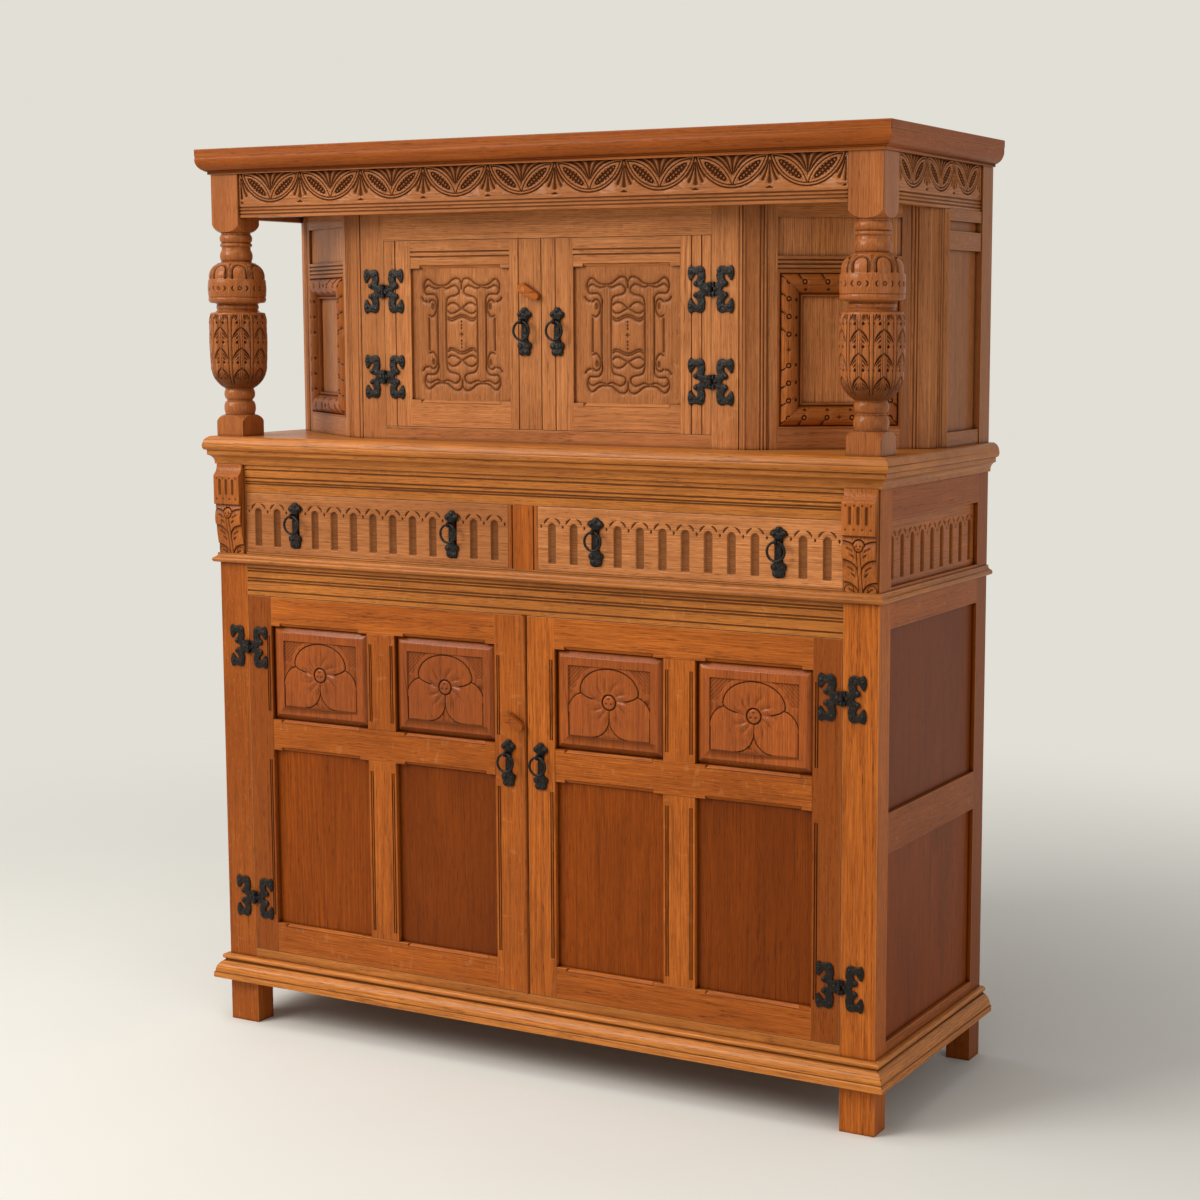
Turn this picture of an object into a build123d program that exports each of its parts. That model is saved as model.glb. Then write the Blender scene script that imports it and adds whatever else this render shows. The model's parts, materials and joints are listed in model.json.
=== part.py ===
from build123d import *
import math
import os

# Court cupboard in oak: a panelled base with two doors and two fluted drawers, and a canted
# upper cupboard, set back under a carved frieze that two cup-and-cover posts carry.
# Millimetres. X runs to the right, Y to the back and Z up. The origin is on the floor, under
# the middle of the box that the whole cupboard fills.

# ---- driving sizes -----------------------------------------------------------------------

HALF_WIDTH = 665.0                  # carcass, from the middle to the outside
DEPTH = 475.0                       # carcass, front to back
BASE_OUT = 23.0                     # how far the base moulding stands out
FRONT = (BASE_OUT - DEPTH) / 2      # the plane of the carcass front
BACK = FRONT + DEPTH

# Levels, from the floor up
FOOT_TOP = 83.0
BASE_TOP = 128.0
SILL = 145.0
DOOR_HEAD = 817.0
WAIST = 876.0
WAIST_TOP = 893.0
DRAWER_SILL = 896.0
DRAWER_HEAD = 1007.0
COVE = 1058.0
SHELF_UNDER = 1076.0
SHELF_TOP = 1109.0
UPPER_SILL = 1132.0
UPPER_HEAD = 1461.0
FRIEZE = 1505.0
SOFFIT = 1520.0
FRIEZE_TOP = 1583.0
TOP_BOARD = 1615.3
TOP = 1628.0

# Framing
POST_WIDE = 63.0                    # front post, across the front
POST_DEEP = 45.0                    # front post, along the side
BACK_POST_WIDE = 45.0
BACK_POST_DEEP = 47.0
RAIL_THICK = 22.5
SIDE_THICK = 22.0
PANEL_THICK = 8.0
PANEL_SUNK = 8.0                    # side panels, behind the face of their frame
TONGUE = 6.0                        # what a panel has inside the grooves of its frame
SIDE_RAILS = ((FOOT_TOP, 147.0), (463.0, 530.0), (831.0, 898.0), (DRAWER_HEAD, SHELF_UNDER))
REED = 1.5                          # radius of the small grooves that make a reeded rail
SCRATCH = (1.3, 1.6)                # a fine V-groove: half its width, and its depth

# Inside the cupboard
FLOOR_BOARD = (137.0, 153.0)
INNER_SHELF = (480.0, 498.0)
BACK_BOARD = (BACK - 14.0, BACK - 6.0)
BEARER = (880.0, 898.5)             # drawer bearers, and the guides beside them
GUIDE_TOP = 930.0
BEARER_REACH = 14.0                 # how far a bearer reaches under its drawer

# Doors
GAP = 0.7                           # round a door or a drawer front
DOOR_THICK = 22.0
DOOR_BEVEL = 1.4                    # planed off the back of a meeting edge, so that it clears
CHAMFER = 5.0                       # stopped chamfers round the panels
CHAMFER_STOP = 20.0
LOWER_OPENING = HALF_WIDTH - POST_WIDE
UPPER_OPENING = 330.0
UPPER_FRONT = FRONT + 65.0          # the plane of the upper doors
UPPER_SCRATCHES = {-1: (-305.0, -46.0), 1: (28.5, 293.0, 312.0)}    # by side, across the front

# Upper cupboard in plan, right half: the front, a reeded post, a canted wall, a second
# reeded post and the return along the side
POST_A = (386.0, UPPER_FRONT)
POST_B = (428.9, FRONT + 84.1)
CANT = 35.5                         # degrees between the front and the canted wall
CANT_LENGTH = 233.3
CANT_REEDED = 35.2                  # the part of the second post in line with the cant
RETURN_FACE = 663.0
RETURN_START = FRONT + 283.0
WALL_THICK = 22.0

# Cup-and-cover posts
COLUMN_X = 634.0
COLUMN_Y = FRONT + 30.0
COLUMN_WIDE = 61.0
COLUMN_DEEP = 60.0
FRIEZE_BACK = 4.0                   # the frieze boards, behind the faces of the blocks
FRIEZE_THICK = 20.0

# Drawers
DRAWER_FRONT_THICK = 20.0
DRAWER_BOX = 380.0                  # how far back a drawer reaches
DRAWER_SIDE = 10.0
DRAWER_FOOT = 899.0
DRAWER_SIDE_TOP = 990.0
DRAWER_BACK_TOP = 985.0
DRAWER_BOTTOM = (904.0, 910.0)
DIVIDER = 29.5                      # half the width of the piece between the drawers
FLUTES = 13
FLUTE_PITCH = 42.9
FLUTE_WIDE = 14.5
FLUTE_FOOT = 910.0
FLUTE_HEAD = 979.0
FLUTE_DEEP = 4.0

# Ironwork
PIN_OUT = 4.0                       # hinge pins, in front of the face they lie on
PIN_RADIUS = 1.6
KNUCKLE_RADIUS = 3.6
KNUCKLE_HALF = 12.0
KNUCKLE_SPLIT = 4.1                 # the door's knuckle lies between these heights
LEAF_THICK = 3.0
PLATE_THICK = 4.0
RING_OUT = 13.0                     # the ring's pivot, in front of the plate's seat
RING_RADIUS = 15.75                 # to the middle of the wire
RING_WIRE = 2.25
RING_RISE = 18.0                    # the pivot, above the middle of the plate
EYE_RADIUS = 2.8
LOWER_HINGES = (244.0, 720.5)
UPPER_HINGES = (1220.0, 1372.0)
LOWER_PLATE = (33.0, 554.5)         # the middle of a handle plate: off centre, height
UPPER_PLATE = (33.0, 1301.0)
DRAWER_PLATES = (146.0, 488.0)
DRAWER_PLATE_HEIGHT = 950.0

# Turn-buttons
BUTTON_TILT = 27.0                  # degrees below level
BUTTON_REACH = 32.0                 # from the pivot to the tip
BUTTON_TAIL = 12.0
BUTTON_HALF = 7.5
BUTTON_THICK = 10.0
BUTTON_CLEAR = 0.4                  # between a button and the pad or door behind it
PAD_THICK = 4.0                     # lifts the lower button over the bead beside it
PAD_RADIUS = 8.0
PIVOT_RADIUS = 4.4
LOWER_BUTTON = (-26.0, 635.0)
UPPER_BUTTON = (-30.2, 1374.0)


# ---- shapes that repeat ------------------------------------------------------------------

def board(x0, x1, y0, y1, z0, z1):
    """A straight board between two opposite corners."""
    middle = Pos((x0 + x1) / 2, (y0 + y1) / 2, (z0 + z1) / 2)
    return middle * Box(abs(x1 - x0), abs(y1 - y0), abs(z1 - z0))


def outline(start, *steps):
    """A closed flat face. A step is an end point, or a pair: a point on an arc and its end."""
    edges = []
    here = start
    for step in steps:
        if isinstance(step[0], tuple):
            edges.append(ThreePointArc(here, step[0], step[1]))
            here = step[1]
        else:
            edges.append(Line(here, step))
            here = step
    if here != start:
        edges.append(Line(here, start))
    return make_face(edges)


def mirrored(solids):
    """The same pieces for the left side, followed by those of the right side."""
    return [mirror(solid, about=Plane.YZ) for solid in solids] + list(solids)


def upright(points, z0, z1):
    """A prism that stands on a plan outline."""
    plan = make_face(Polyline(*points, close=True))
    return Pos(0, 0, z0) * extrude(plan, z1 - z0)


def run_front(section, front=FRONT, length=2 * HALF_WIDTH + 100):
    """A section (out, up) drawn out along the front."""
    plane = Plane(origin=(0, front, 0), x_dir=(0, -1, 0), z_dir=(-1, 0, 0))
    return extrude(plane * section, length / 2, both=True)


def moulding(section, z0, z1, inside=0.0):
    """A moulding round the front and both sides, as three lengths mitred at the corners."""
    out = 60.0
    edge = HALF_WIDTH
    front = upright(
        [(-edge + inside, FRONT + inside), (edge - inside, FRONT + inside),
         (edge + out, FRONT - out), (-edge - out, FRONT - out)], z0, z1)
    side = upright(
        [(edge - inside, FRONT + inside), (edge + out, FRONT - out),
         (edge + out, BACK), (edge - inside, BACK)], z0, z1)
    plane = Plane(origin=(edge, 0, 0), x_dir=(1, 0, 0), z_dir=(0, -1, 0))
    length = extrude(plane * section, DEPTH, both=True)
    return [run_front(section) & front] + mirrored([length & side])


def reeded(section, heights, out=0.0, radius=REED):
    """The section with small round grooves cut in its face at the given heights."""
    for height in heights:
        section = section - Pos(out, height) * Circle(radius)
    return section


def rail(x0, x1, y0, z0, z1, grooves=()):
    """A rail across the front, with reeds run along its face."""
    section = outline((-RAIL_THICK, z0), (0, z0), (0, z1), (-RAIL_THICK, z1))
    length = run_front(reeded(section, grooves), y0, x1 - x0)
    return Pos((x0 + x1) / 2, 0, 0) * length


def scratched(piece, places, y0, z0, z1):
    """Cuts upright V-grooves in a face at y0, one at each place across it."""
    half, deep = SCRATCH
    for x in places:
        piece = piece - upright([(x - half, y0), (x + half, y0), (x, y0 + deep)], z0, z1)
    return piece


def chamfer_wedge(x0, x1, y0, z, up):
    """What a stopped chamfer takes off a rail's edge at height z; up is 1 if it cuts upwards."""
    corner = [(0.0, 0.0), (0.0, CHAMFER * up), (CHAMFER, 0.0)]
    plane = Plane(origin=(x0, y0, z), x_dir=(0, 1, 0), z_dir=(1, 0, 0))
    wedge = extrude(plane * make_face(Polyline(*corner, close=True)), x1 - x0)
    slope = 4.0
    ends = upright([(x0, y0), (x1, y0), (x1 - slope, y0 + CHAMFER), (x0 + slope, y0 + CHAMFER)],
                   z - CHAMFER, z + CHAMFER)
    return wedge & ends


def flute_cutter(x, y0, deep):
    """A round-headed flute, sunk from the plane y0 backwards."""
    half = FLUTE_WIDE / 2
    shoulder = FLUTE_HEAD - half
    face = outline((-half, FLUTE_FOOT), (half, FLUTE_FOOT), (half, shoulder),
                   ((0, FLUTE_HEAD), (-half, shoulder)))
    plane = Plane(origin=(x, y0 + deep, 0), x_dir=(1, 0, 0), z_dir=(0, -1, 0))
    return extrude(plane * face, deep + 5.0)


def save(name, solids):
    """One file for one named sub-part."""
    pieces = []
    for shape in solids:
        pieces.extend(shape.solids())
    whole = pieces[0] if len(pieces) == 1 else Compound(children=pieces)
    whole.label = name
    export_step(whole, f"parts/{name}.step")


# ---- lower carcass -----------------------------------------------------------------------

def side_panel(z0, z1, x_face=HALF_WIDTH):
    """A plain panel of the right side, with the tongue that its grooves take."""
    outer = x_face - PANEL_SUNK
    return board(outer - PANEL_THICK, outer, FRONT + POST_DEEP - TONGUE,
                 BACK - BACK_POST_DEEP + TONGUE, z0 - TONGUE, z1 + TONGUE)


def side_openings():
    """The heights of the two plain side panels and of the fluted one above them."""
    return [(SIDE_RAILS[i][1], SIDE_RAILS[i + 1][0]) for i in range(3)]


def fluted_side_panel():
    """The panel beside the drawers: nine flutes in a row, sunk a little behind its frame."""
    z0, z1 = side_openings()[2]
    panel = side_panel(z0, z1)
    face = HALF_WIDTH - PANEL_SUNK
    middle = (FRONT + POST_DEEP + BACK - BACK_POST_DEEP) / 2
    upright_to_side = Rot(0, 0, 90)
    for i in range(9):
        cutter = flute_cutter(0, 0, FLUTE_DEEP)
        panel = panel - Pos(face, middle + (i - 4) * FLUTE_PITCH, 0) * upright_to_side * cutter
    return panel


def lower_carcass():
    plain = [side_panel(z0, z1) for z0, z1 in side_openings()[:2]]
    fluted = fluted_side_panel()
    sunk = side_panel(*side_openings()[2])
    post = board(HALF_WIDTH - POST_WIDE, HALF_WIDTH, FRONT, FRONT + POST_DEEP, 0, SHELF_UNDER)
    back_post = board(HALF_WIDTH - BACK_POST_WIDE, HALF_WIDTH, BACK - BACK_POST_DEEP, BACK,
                      0, SHELF_UNDER)
    rails = []
    for z0, z1 in SIDE_RAILS:
        rails.append(board(HALF_WIDTH - SIDE_THICK, HALF_WIDTH, FRONT + POST_DEEP,
                           BACK - BACK_POST_DEEP, z0, z1))
    for panel in plain + [sunk]:
        post = post - panel
        back_post = back_post - panel
        rails = [length - panel for length in rails]
    save("front_posts", mirrored([post]))
    save("back_posts", mirrored([back_post]))
    save("side_rails", mirrored(rails))
    save("side_panels", mirrored(plain))
    save("side_fluted_panels", mirrored([fluted]))


def notched_board(y0, z0, z1, x_side, corner_front=0.0):
    """A floor or shelf that fills the carcass and is cut round the back posts."""
    inner = HALF_WIDTH - BACK_POST_WIDE
    behind = BACK - BACK_POST_DEEP
    wall = BACK_BOARD[0]
    points = [(-inner, wall), (inner, wall), (inner, behind), (x_side, behind)]
    left = [(-x_side, behind), (-inner, behind)]
    if corner_front > y0:
        start = LOWER_OPENING
        points += [(x_side, corner_front), (start, corner_front), (start, y0), (-start, y0),
                   (-start, corner_front), (-x_side, corner_front)]
    else:
        points += [(x_side, y0), (-x_side, y0)]
    return upright(points + left, z0, z1)


def inside_lower():
    behind_doors = FRONT + RAIL_THICK
    inner_side = HALF_WIDTH - SIDE_THICK
    behind_post = FRONT + POST_DEEP
    save("floor_board", [notched_board(behind_doors, *FLOOR_BOARD, inner_side, behind_post)])
    save("inner_shelf", [notched_board(behind_post, *INNER_SHELF, inner_side)])
    inner = HALF_WIDTH - BACK_POST_WIDE
    lower = board(-inner, inner, *BACK_BOARD, FOOT_TOP, SHELF_UNDER)
    upper = board(-inner, inner, *BACK_BOARD, SHELF_TOP, FRIEZE_TOP)
    save("back_panels", [lower, upper])


def base_section():
    """A fillet at the foot, a long slope that swells, and a bead on top."""
    return outline((0, FOOT_TOP), (BASE_OUT, FOOT_TOP), (BASE_OUT, 93), (21, 95),
                   ((16.5, 108), (7, 116)), (7, 118), ((11, 123), (7, 127.5)),
                   (5, BASE_TOP), (0, BASE_TOP))


def waist_section():
    """A bold bead under a small hollow."""
    return outline((0, WAIST), (6, WAIST), ((11, 880.5), (7, 885)), ((3.8, 888), (3, 892)),
                   (3, WAIST_TOP), (0, WAIST_TOP))


def cove_section():
    """A hollow that spreads to carry the shelf."""
    return outline((0, COVE), (4, COVE), (4, 1060), ((6.5, 1069.5), (14, 1075)),
                   (14, SHELF_UNDER), (0, SHELF_UNDER))


def front_rails():
    half = LOWER_OPENING
    bottom = rail(-half, half, FRONT, FOOT_TOP, SILL)
    head = rail(-half, half, FRONT, DOOR_HEAD, DRAWER_SILL, (826, 844, 849, 862, 867))
    drawer_top = rail(-half, half, FRONT, DRAWER_HEAD, SHELF_UNDER, (1023, 1027, 1034, 1049))
    save("front_rails", [bottom, head, drawer_top])
    divider = rail(-DIVIDER, DIVIDER, FRONT, DRAWER_SILL, DRAWER_HEAD)
    for x in (-DIVIDER + 8, DIVIDER - 8):
        divider = divider - Pos(x, FRONT, 950) * Cylinder(REED, 120)
    save("drawer_divider", [divider])
    save("base_moulding", moulding(base_section(), FOOT_TOP, BASE_TOP))
    save("waist_moulding", moulding(waist_section(), WAIST, WAIST_TOP))
    save("shelf_cove", moulding(cove_section(), COVE, SHELF_UNDER))


def runners():
    """Drawer runners: a bearer under each drawer side, and a guide that keeps it straight."""
    foot, top = BEARER
    back_wall = BACK_BOARD[0]
    under = (FRONT + RAIL_THICK, back_wall, foot, top)
    outer = board(LOWER_OPENING - BEARER_REACH, LOWER_OPENING, *under)
    outer = outer + board(LOWER_OPENING, HALF_WIDTH - SIDE_THICK, FRONT + POST_DEEP,
                          BACK - BACK_POST_DEEP, foot, GUIDE_TOP)
    half = DIVIDER + BEARER_REACH
    middle = board(-half, half, *under)
    middle = middle + board(-DIVIDER, DIVIDER, FRONT + RAIL_THICK, back_wall, top, GUIDE_TOP)
    save("drawer_runners", mirrored([outer]) + [middle])


def corbels():
    """Brackets on the posts: a fluted block over a leaf that tapers back to the post."""
    section = outline((0, WAIST_TOP), (4, WAIST_TOP), ((8, 915), (12.5, 940)),
                      ((16, 962), (12, 983)), (17, 985), (17, 1037), (15.5, 1039),
                      ((9.5, 1046), (7, COVE)), (0, COVE))
    middle = HALF_WIDTH - POST_WIDE / 2
    block = Pos(middle, 0, 0) * run_front(section, FRONT, 58)
    for x in (-14, 0, 14):
        for z in (998, 1025):
            block = block - Pos(middle + x, FRONT - 17, z) * Sphere(3)
        slot = board(middle + x - 3, middle + x + 3, FRONT - 20, FRONT - 14.5, 998, 1025)
        block = block - slot
    save("corbels", mirrored([block]))


def nosing_section():
    """The moulded edge of the middle shelf: a fillet under a thumbnail."""
    return outline((-40, SHELF_UNDER), (14, SHELF_UNDER), (14, 1083), (18, 1084.5),
                   ((20, 1089), (19.5, 1095)), ((16.5, 1103.5), (9, SHELF_TOP)),
                   (-40, SHELF_TOP))


def middle_shelf():
    lengths = moulding(nosing_section(), SHELF_UNDER, SHELF_TOP, 40)
    inside = HALF_WIDTH - 40
    shelf = board(-inside, inside, FRONT + 40, BACK, SHELF_UNDER, SHELF_TOP)
    for length in lengths:
        shelf = shelf + length
    save("middle_shelf", [shelf])


# ---- cup-and-cover posts -----------------------------------------------------------------

def turning():
    """Half section (radius, height) of the turned part, between the two square blocks."""
    return outline(
        (0, 1148.5), (27, 1148.5), (27, 1151), ((28.8, 1161.5), (26, 1172)),
        (23.5, 1173.5), (23.5, 1176), (26, 1178), ((28, 1186.5), (25.5, 1195)),
        (27, 1197), ((43.5, 1212), (51.3, 1240)), ((52.9, 1283), (52.3, 1312)),
        ((51.8, 1326), (49, 1334)), (44, 1335), ((39, 1337), (37, 1340)),
        ((38.4, 1344.5), (37, 1349)), (40, 1351.5), (48, 1352), ((51.2, 1355), (51.8, 1361)),
        ((52.8, 1377), (51.8, 1394)), (50.5, 1396), ((47, 1413), (31, 1425)), (27, 1427),
        ((29.6, 1436), (26.2, 1448)), (26, 1453), (28, 1454), ((29, 1457), (28, 1459.5)),
        (26, 1460.5), ((29.5, 1468), (26.5, 1476)), (26.5, 1480), (0, 1480))


def square_block(z0, z1, shoulder):
    """A square block whose end is turned to a dome, so each face ends in a round arch."""
    square = board(-COLUMN_WIDE / 2, COLUMN_WIDE / 2, -COLUMN_DEEP / 2, COLUMN_DEEP / 2, z0, z1)
    return square & revolve(Plane.XZ * shoulder, Axis.Z)


def turned_posts():
    corner = 44.0
    base = outline((0, SHELF_TOP), (corner, SHELF_TOP), (corner, 1129),
                   ((38.5, 1142.5), (27, 1148.5)), (0, 1148.5))
    head = outline((0, 1479), (28, 1479), ((38.5, 1486.5), (corner, 1502)),
                   (corner, FRIEZE_TOP), (0, FRIEZE_TOP))
    post = square_block(SHELF_TOP, 1149, base)
    post = post + revolve(Plane.XZ * turning(), Axis.Z)
    post = post + square_block(1479, FRIEZE_TOP, head)
    save("left_turned_post", [Pos(-COLUMN_X, COLUMN_Y, 0) * post])
    save("right_turned_post", [Pos(COLUMN_X, COLUMN_Y, 0) * post])


# ---- upper cupboard ----------------------------------------------------------------------

def along(point, degrees, distance):
    """The point at a distance from another, in a direction in plan."""
    turn = math.radians(degrees)
    return (point[0] + distance * math.cos(turn), point[1] + distance * math.sin(turn))


def on_cant(shape):
    """Puts a piece made at the origin on the right canted wall: X along it, Y into it."""
    return Pos(POST_B[0], POST_B[1], 0) * Rot(0, 0, CANT) * shape


def under_frieze(piece):
    """Cuts a wall of the return back to the foot of the frieze board that stands over it."""
    inner = HALF_WIDTH - FRIEZE_BACK - FRIEZE_THICK
    return piece - board(inner, HALF_WIDTH + 10, FRONT, BACK, FRIEZE, FRIEZE_TOP)


def reeds_on(plan, start, degrees, places, radius=2.4):
    """Adds a row of round reeds to a plan outline, along a line from a start."""
    for place in places:
        x, y = along(start, degrees, place)
        inward = math.radians(degrees + 90)
        plan = plan + Pos(x + 0.9 * math.cos(inward), y + 0.9 * math.sin(inward)) * Circle(radius)
    return plan


def corner_posts():
    """Reeded posts at the two corners of each canted wall."""
    facet = math.degrees(math.atan2(POST_B[1] - POST_A[1], POST_B[0] - POST_A[0]))
    inner_b = along(POST_B, CANT + 90, WALL_THICK)
    first = make_face(Polyline(POST_A, POST_B, inner_b, (POST_A[0], POST_A[1] + WALL_THICK),
                               close=True))
    first = reeds_on(first, POST_A, facet, (5.0, 28.5, 34.0, 39.5))
    start = along(POST_B, CANT, CANT_LENGTH)
    knee = along(start, CANT, CANT_REEDED)
    end = (RETURN_FACE, RETURN_START)
    second = make_face(Polyline(start, knee, end, (RETURN_FACE - WALL_THICK, RETURN_START),
                                along(start, CANT + 90, WALL_THICK), close=True))
    second = reeds_on(second, start, CANT, (4.5, 10.0, 15.5))
    turned = math.degrees(math.atan2(end[1] - knee[1], end[0] - knee[0]))
    second = reeds_on(second, knee, turned, (21.0, 26.5, 32.0))
    tall = SOFFIT - SHELF_TOP
    posts = [under_frieze(Pos(0, 0, SHELF_TOP) * extrude(plan, tall)) for plan in (first, second)]
    save("upper_corner_posts", mirrored(posts))


def front_frame():
    stile = board(UPPER_OPENING, POST_A[0], UPPER_FRONT, UPPER_FRONT + WALL_THICK,
                  SHELF_TOP, SOFFIT)
    stile = scratched(stile, [POST_A[0] - 5], UPPER_FRONT, SHELF_TOP, SOFFIT)
    rails = []
    for z0, z1 in ((SHELF_TOP, UPPER_SILL), (UPPER_HEAD, SOFFIT)):
        rails.append(board(-UPPER_OPENING, UPPER_OPENING, UPPER_FRONT,
                           UPPER_FRONT + WALL_THICK, z0, z1))
    save("upper_front_frame", mirrored([stile]) + rails)


CANT_STILES = (12.5, 14.4)          # widths of the canted frame's two stiles
CANT_PANEL = (1144.0, 1402.0)       # the moulded panel, foot and head
CANT_TOP_PANEL = (1426.0, 1489.0)
CANT_PANEL_DEEP = 10.0
FRAME_MOULD = 42.0                  # width of the carved moulding round the panel
RETURN_PANEL = (1134.0, 1438.0)
RETURN_TOP_PANEL = (1469.0, 1486.0)


def bolection():
    """Section (across, in) of the moulding round a canted panel: quirk, swell and bead."""
    return outline((0, CANT_PANEL_DEEP), (0, -1), (3.5, -1), (4.5, 2), ((16, -6.5), (36, 5)),
                   (38, 6), ((40.5, 2.8), (FRAME_MOULD, 6)), (FRAME_MOULD, CANT_PANEL_DEEP))


def picture_frame(section, x0, x1, z0, z1):
    """Four lengths of a moulding, mitred round an opening in the XZ plane."""
    wide = FRAME_MOULD
    middle = ((x0 + x1) / 2, (z0 + z1) / 2)
    deep = 60.0
    lengths = []
    rules = (
        ((x0, 0, z0), (0, 0, 1), (-1, 0, 0), ((x0, z0), (x1, z0), (x1 - wide, z0 + wide),
                                              (x0 + wide, z0 + wide))),
        ((x0, 0, z1), (0, 0, -1), (1, 0, 0), ((x0, z1), (x1, z1), (x1 - wide, z1 - wide),
                                              (x0 + wide, z1 - wide))),
        ((x0, 0, middle[1]), (1, 0, 0), (0, 0, 1), ((x0, z0), (x0, z1), (x0 + wide, z1 - wide),
                                                    (x0 + wide, z0 + wide))),
        ((x1, 0, middle[1]), (-1, 0, 0), (0, 0, -1), ((x1, z0), (x1, z1),
                                                      (x1 - wide, z1 - wide),
                                                      (x1 - wide, z0 + wide))),
    )
    for origin, across, way, corners in rules:
        plane = Plane(origin=origin, x_dir=across, z_dir=way)
        length = extrude(plane * section, 400, both=True)
        mitre = Plane.XZ * make_face(Polyline(*corners, close=True))
        lengths.append(length & extrude(mitre, deep, both=True))
    return lengths


def canted_walls():
    """The canted walls and the returns: frames, flat panels and the mitred mouldings."""
    left, right = CANT_STILES
    x0, x1 = left, CANT_LENGTH - right
    panel_back = CANT_PANEL_DEEP + 6
    panels = []
    for z0, z1, deep in ((*CANT_PANEL, CANT_PANEL_DEEP), (*CANT_TOP_PANEL, 5.0)):
        panels.append(board(x0 - TONGUE, x1 + TONGUE, deep, deep + 6, z0 - TONGUE, z1 + TONGUE))
    frame = [board(0, x0, 0, WALL_THICK, SHELF_TOP, SOFFIT),
             board(x1, CANT_LENGTH, 0, WALL_THICK, SHELF_TOP, SOFFIT)]
    for z0, z1 in ((SHELF_TOP, CANT_PANEL[0]), (CANT_PANEL[1], CANT_TOP_PANEL[0]),
                   (CANT_TOP_PANEL[1], SOFFIT)):
        frame.append(board(x0, x1, 0, WALL_THICK, z0, z1))
    for z in (1405.5, 1412.5, 1419.5):
        frame[3] = frame[3] - Pos((x0 + x1) / 2, 0, z) * Rot(0, 90, 0) * Cylinder(REED, 260)
    for panel in panels:
        frame = [piece - panel for piece in frame]
    mouldings = picture_frame(bolection(), x0, x1, *CANT_PANEL)

    face = RETURN_FACE
    back = BACK - BACK_POST_DEEP
    returns = []
    rails = ((SHELF_TOP, RETURN_PANEL[0]), (RETURN_PANEL[1], RETURN_TOP_PANEL[0]),
             (RETURN_TOP_PANEL[1], SOFFIT))
    for z0, z1 in rails:
        piece = board(face - WALL_THICK, face, RETURN_START, back, z0, z1)
        returns.append(under_frieze(piece))
    flat = []
    for z0, z1 in (RETURN_PANEL, RETURN_TOP_PANEL):
        flat.append(board(face - 16, face - 10, RETURN_START, back, z0 - TONGUE, z1 + TONGUE))
    for panel in flat:
        returns = [piece - panel for piece in returns]
    save("upper_wall_frames", mirrored([on_cant(piece) for piece in frame] + returns))
    save("upper_wall_panels", mirrored([on_cant(piece) for piece in panels] + flat))
    save("canted_mouldings", mirrored([on_cant(piece) for piece in mouldings]))


def top_works():
    """Back posts, soffit, frieze boards, the frame of the cornice and the top board."""
    back_post = board(HALF_WIDTH - BACK_POST_WIDE, HALF_WIDTH, BACK - BACK_POST_DEEP, BACK,
                      SHELF_TOP, FRIEZE_TOP)
    save("upper_back_posts", mirrored([back_post]))

    set_back = FRIEZE_BACK
    thick = FRIEZE_THICK
    column_inner = COLUMN_X - COLUMN_WIDE / 2
    column_back = COLUMN_Y + COLUMN_DEEP / 2
    frieze = outline((-thick - set_back, FRIEZE), (-set_back, FRIEZE), (-set_back, FRIEZE_TOP),
                     (-thick - set_back, FRIEZE_TOP))
    frieze = reeded(frieze, (FRIEZE + 6, FRIEZE + 12, FRIEZE + 18), -set_back)
    front = run_front(frieze, FRONT, 2 * column_inner)
    plane = Plane(origin=(HALF_WIDTH, 0, 0), x_dir=(1, 0, 0), z_dir=(0, -1, 0))
    side = extrude(plane * frieze, DEPTH, both=True)
    side = side & board(500, 700, column_back, BACK - BACK_POST_DEEP, FRIEZE - 5, FRIEZE_TOP + 5)
    save("front_frieze", [front])
    save("side_friezes", mirrored([side]))

    inner_side = HALF_WIDTH - set_back - thick
    inner_post = HALF_WIDTH - BACK_POST_WIDE
    half = [(inner_post, BACK_BOARD[0]), (inner_post, BACK - BACK_POST_DEEP),
            (inner_side, BACK - BACK_POST_DEEP), (inner_side, column_back),
            (column_inner, column_back), (column_inner, FRONT + set_back + thick)]
    points = half + [(-x, y) for x, y in reversed(half)]
    save("soffit_board", [upright(points, SOFFIT, SOFFIT + 12)])

    cornice = outline((-26, FRIEZE_TOP), (4, FRIEZE_TOP), (4, 1588), (6, 1588.5),
                      ((16.5, 1597.5), (19.5, 1612)), (19.5, TOP_BOARD), (-26, TOP_BOARD))
    inner = HALF_WIDTH - 26
    back_rail = board(-inner, inner, BACK - 26, BACK, FRIEZE_TOP, TOP_BOARD)
    save("cornice_frame", moulding(cornice, FRIEZE_TOP, TOP_BOARD, 26) + [back_rail])
    over = 20.0
    top = board(-HALF_WIDTH - over, HALF_WIDTH + over, FRONT - over, BACK, TOP_BOARD, TOP)
    edges = top.edges().filter_by_position(Axis.Z, TOP - 0.1, TOP + 0.1)
    rim = [edge for edge in edges if edge.center().Y < BACK - 0.1]
    save("top_board", [fillet(rim, 2.0)])


# ---- doors -------------------------------------------------------------------------------

def meeting_stile(x0, x1, y0, z0, z1, side):
    """A stile whose meeting edge is planed back, so that the door clears as it swings."""
    free = x1 if side < 0 else x0
    fixed = x0 if side < 0 else x1
    points = [(fixed, y0), (free, y0), (free + side * DOOR_BEVEL, y0 + DOOR_THICK),
              (fixed, y0 + DOOR_THICK)]
    return upright(points, z0, z1)


def chamfered(piece, windows, y0):
    """Takes the stopped chamfers along the head and foot of each window off a rail."""
    for x0, x1, z0, z1 in windows:
        for z, up in ((z1, 1), (z0, -1)):
            piece = piece - chamfer_wedge(x0 + CHAMFER_STOP, x1 - CHAMFER_STOP, y0, z, up)
    return piece


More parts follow.
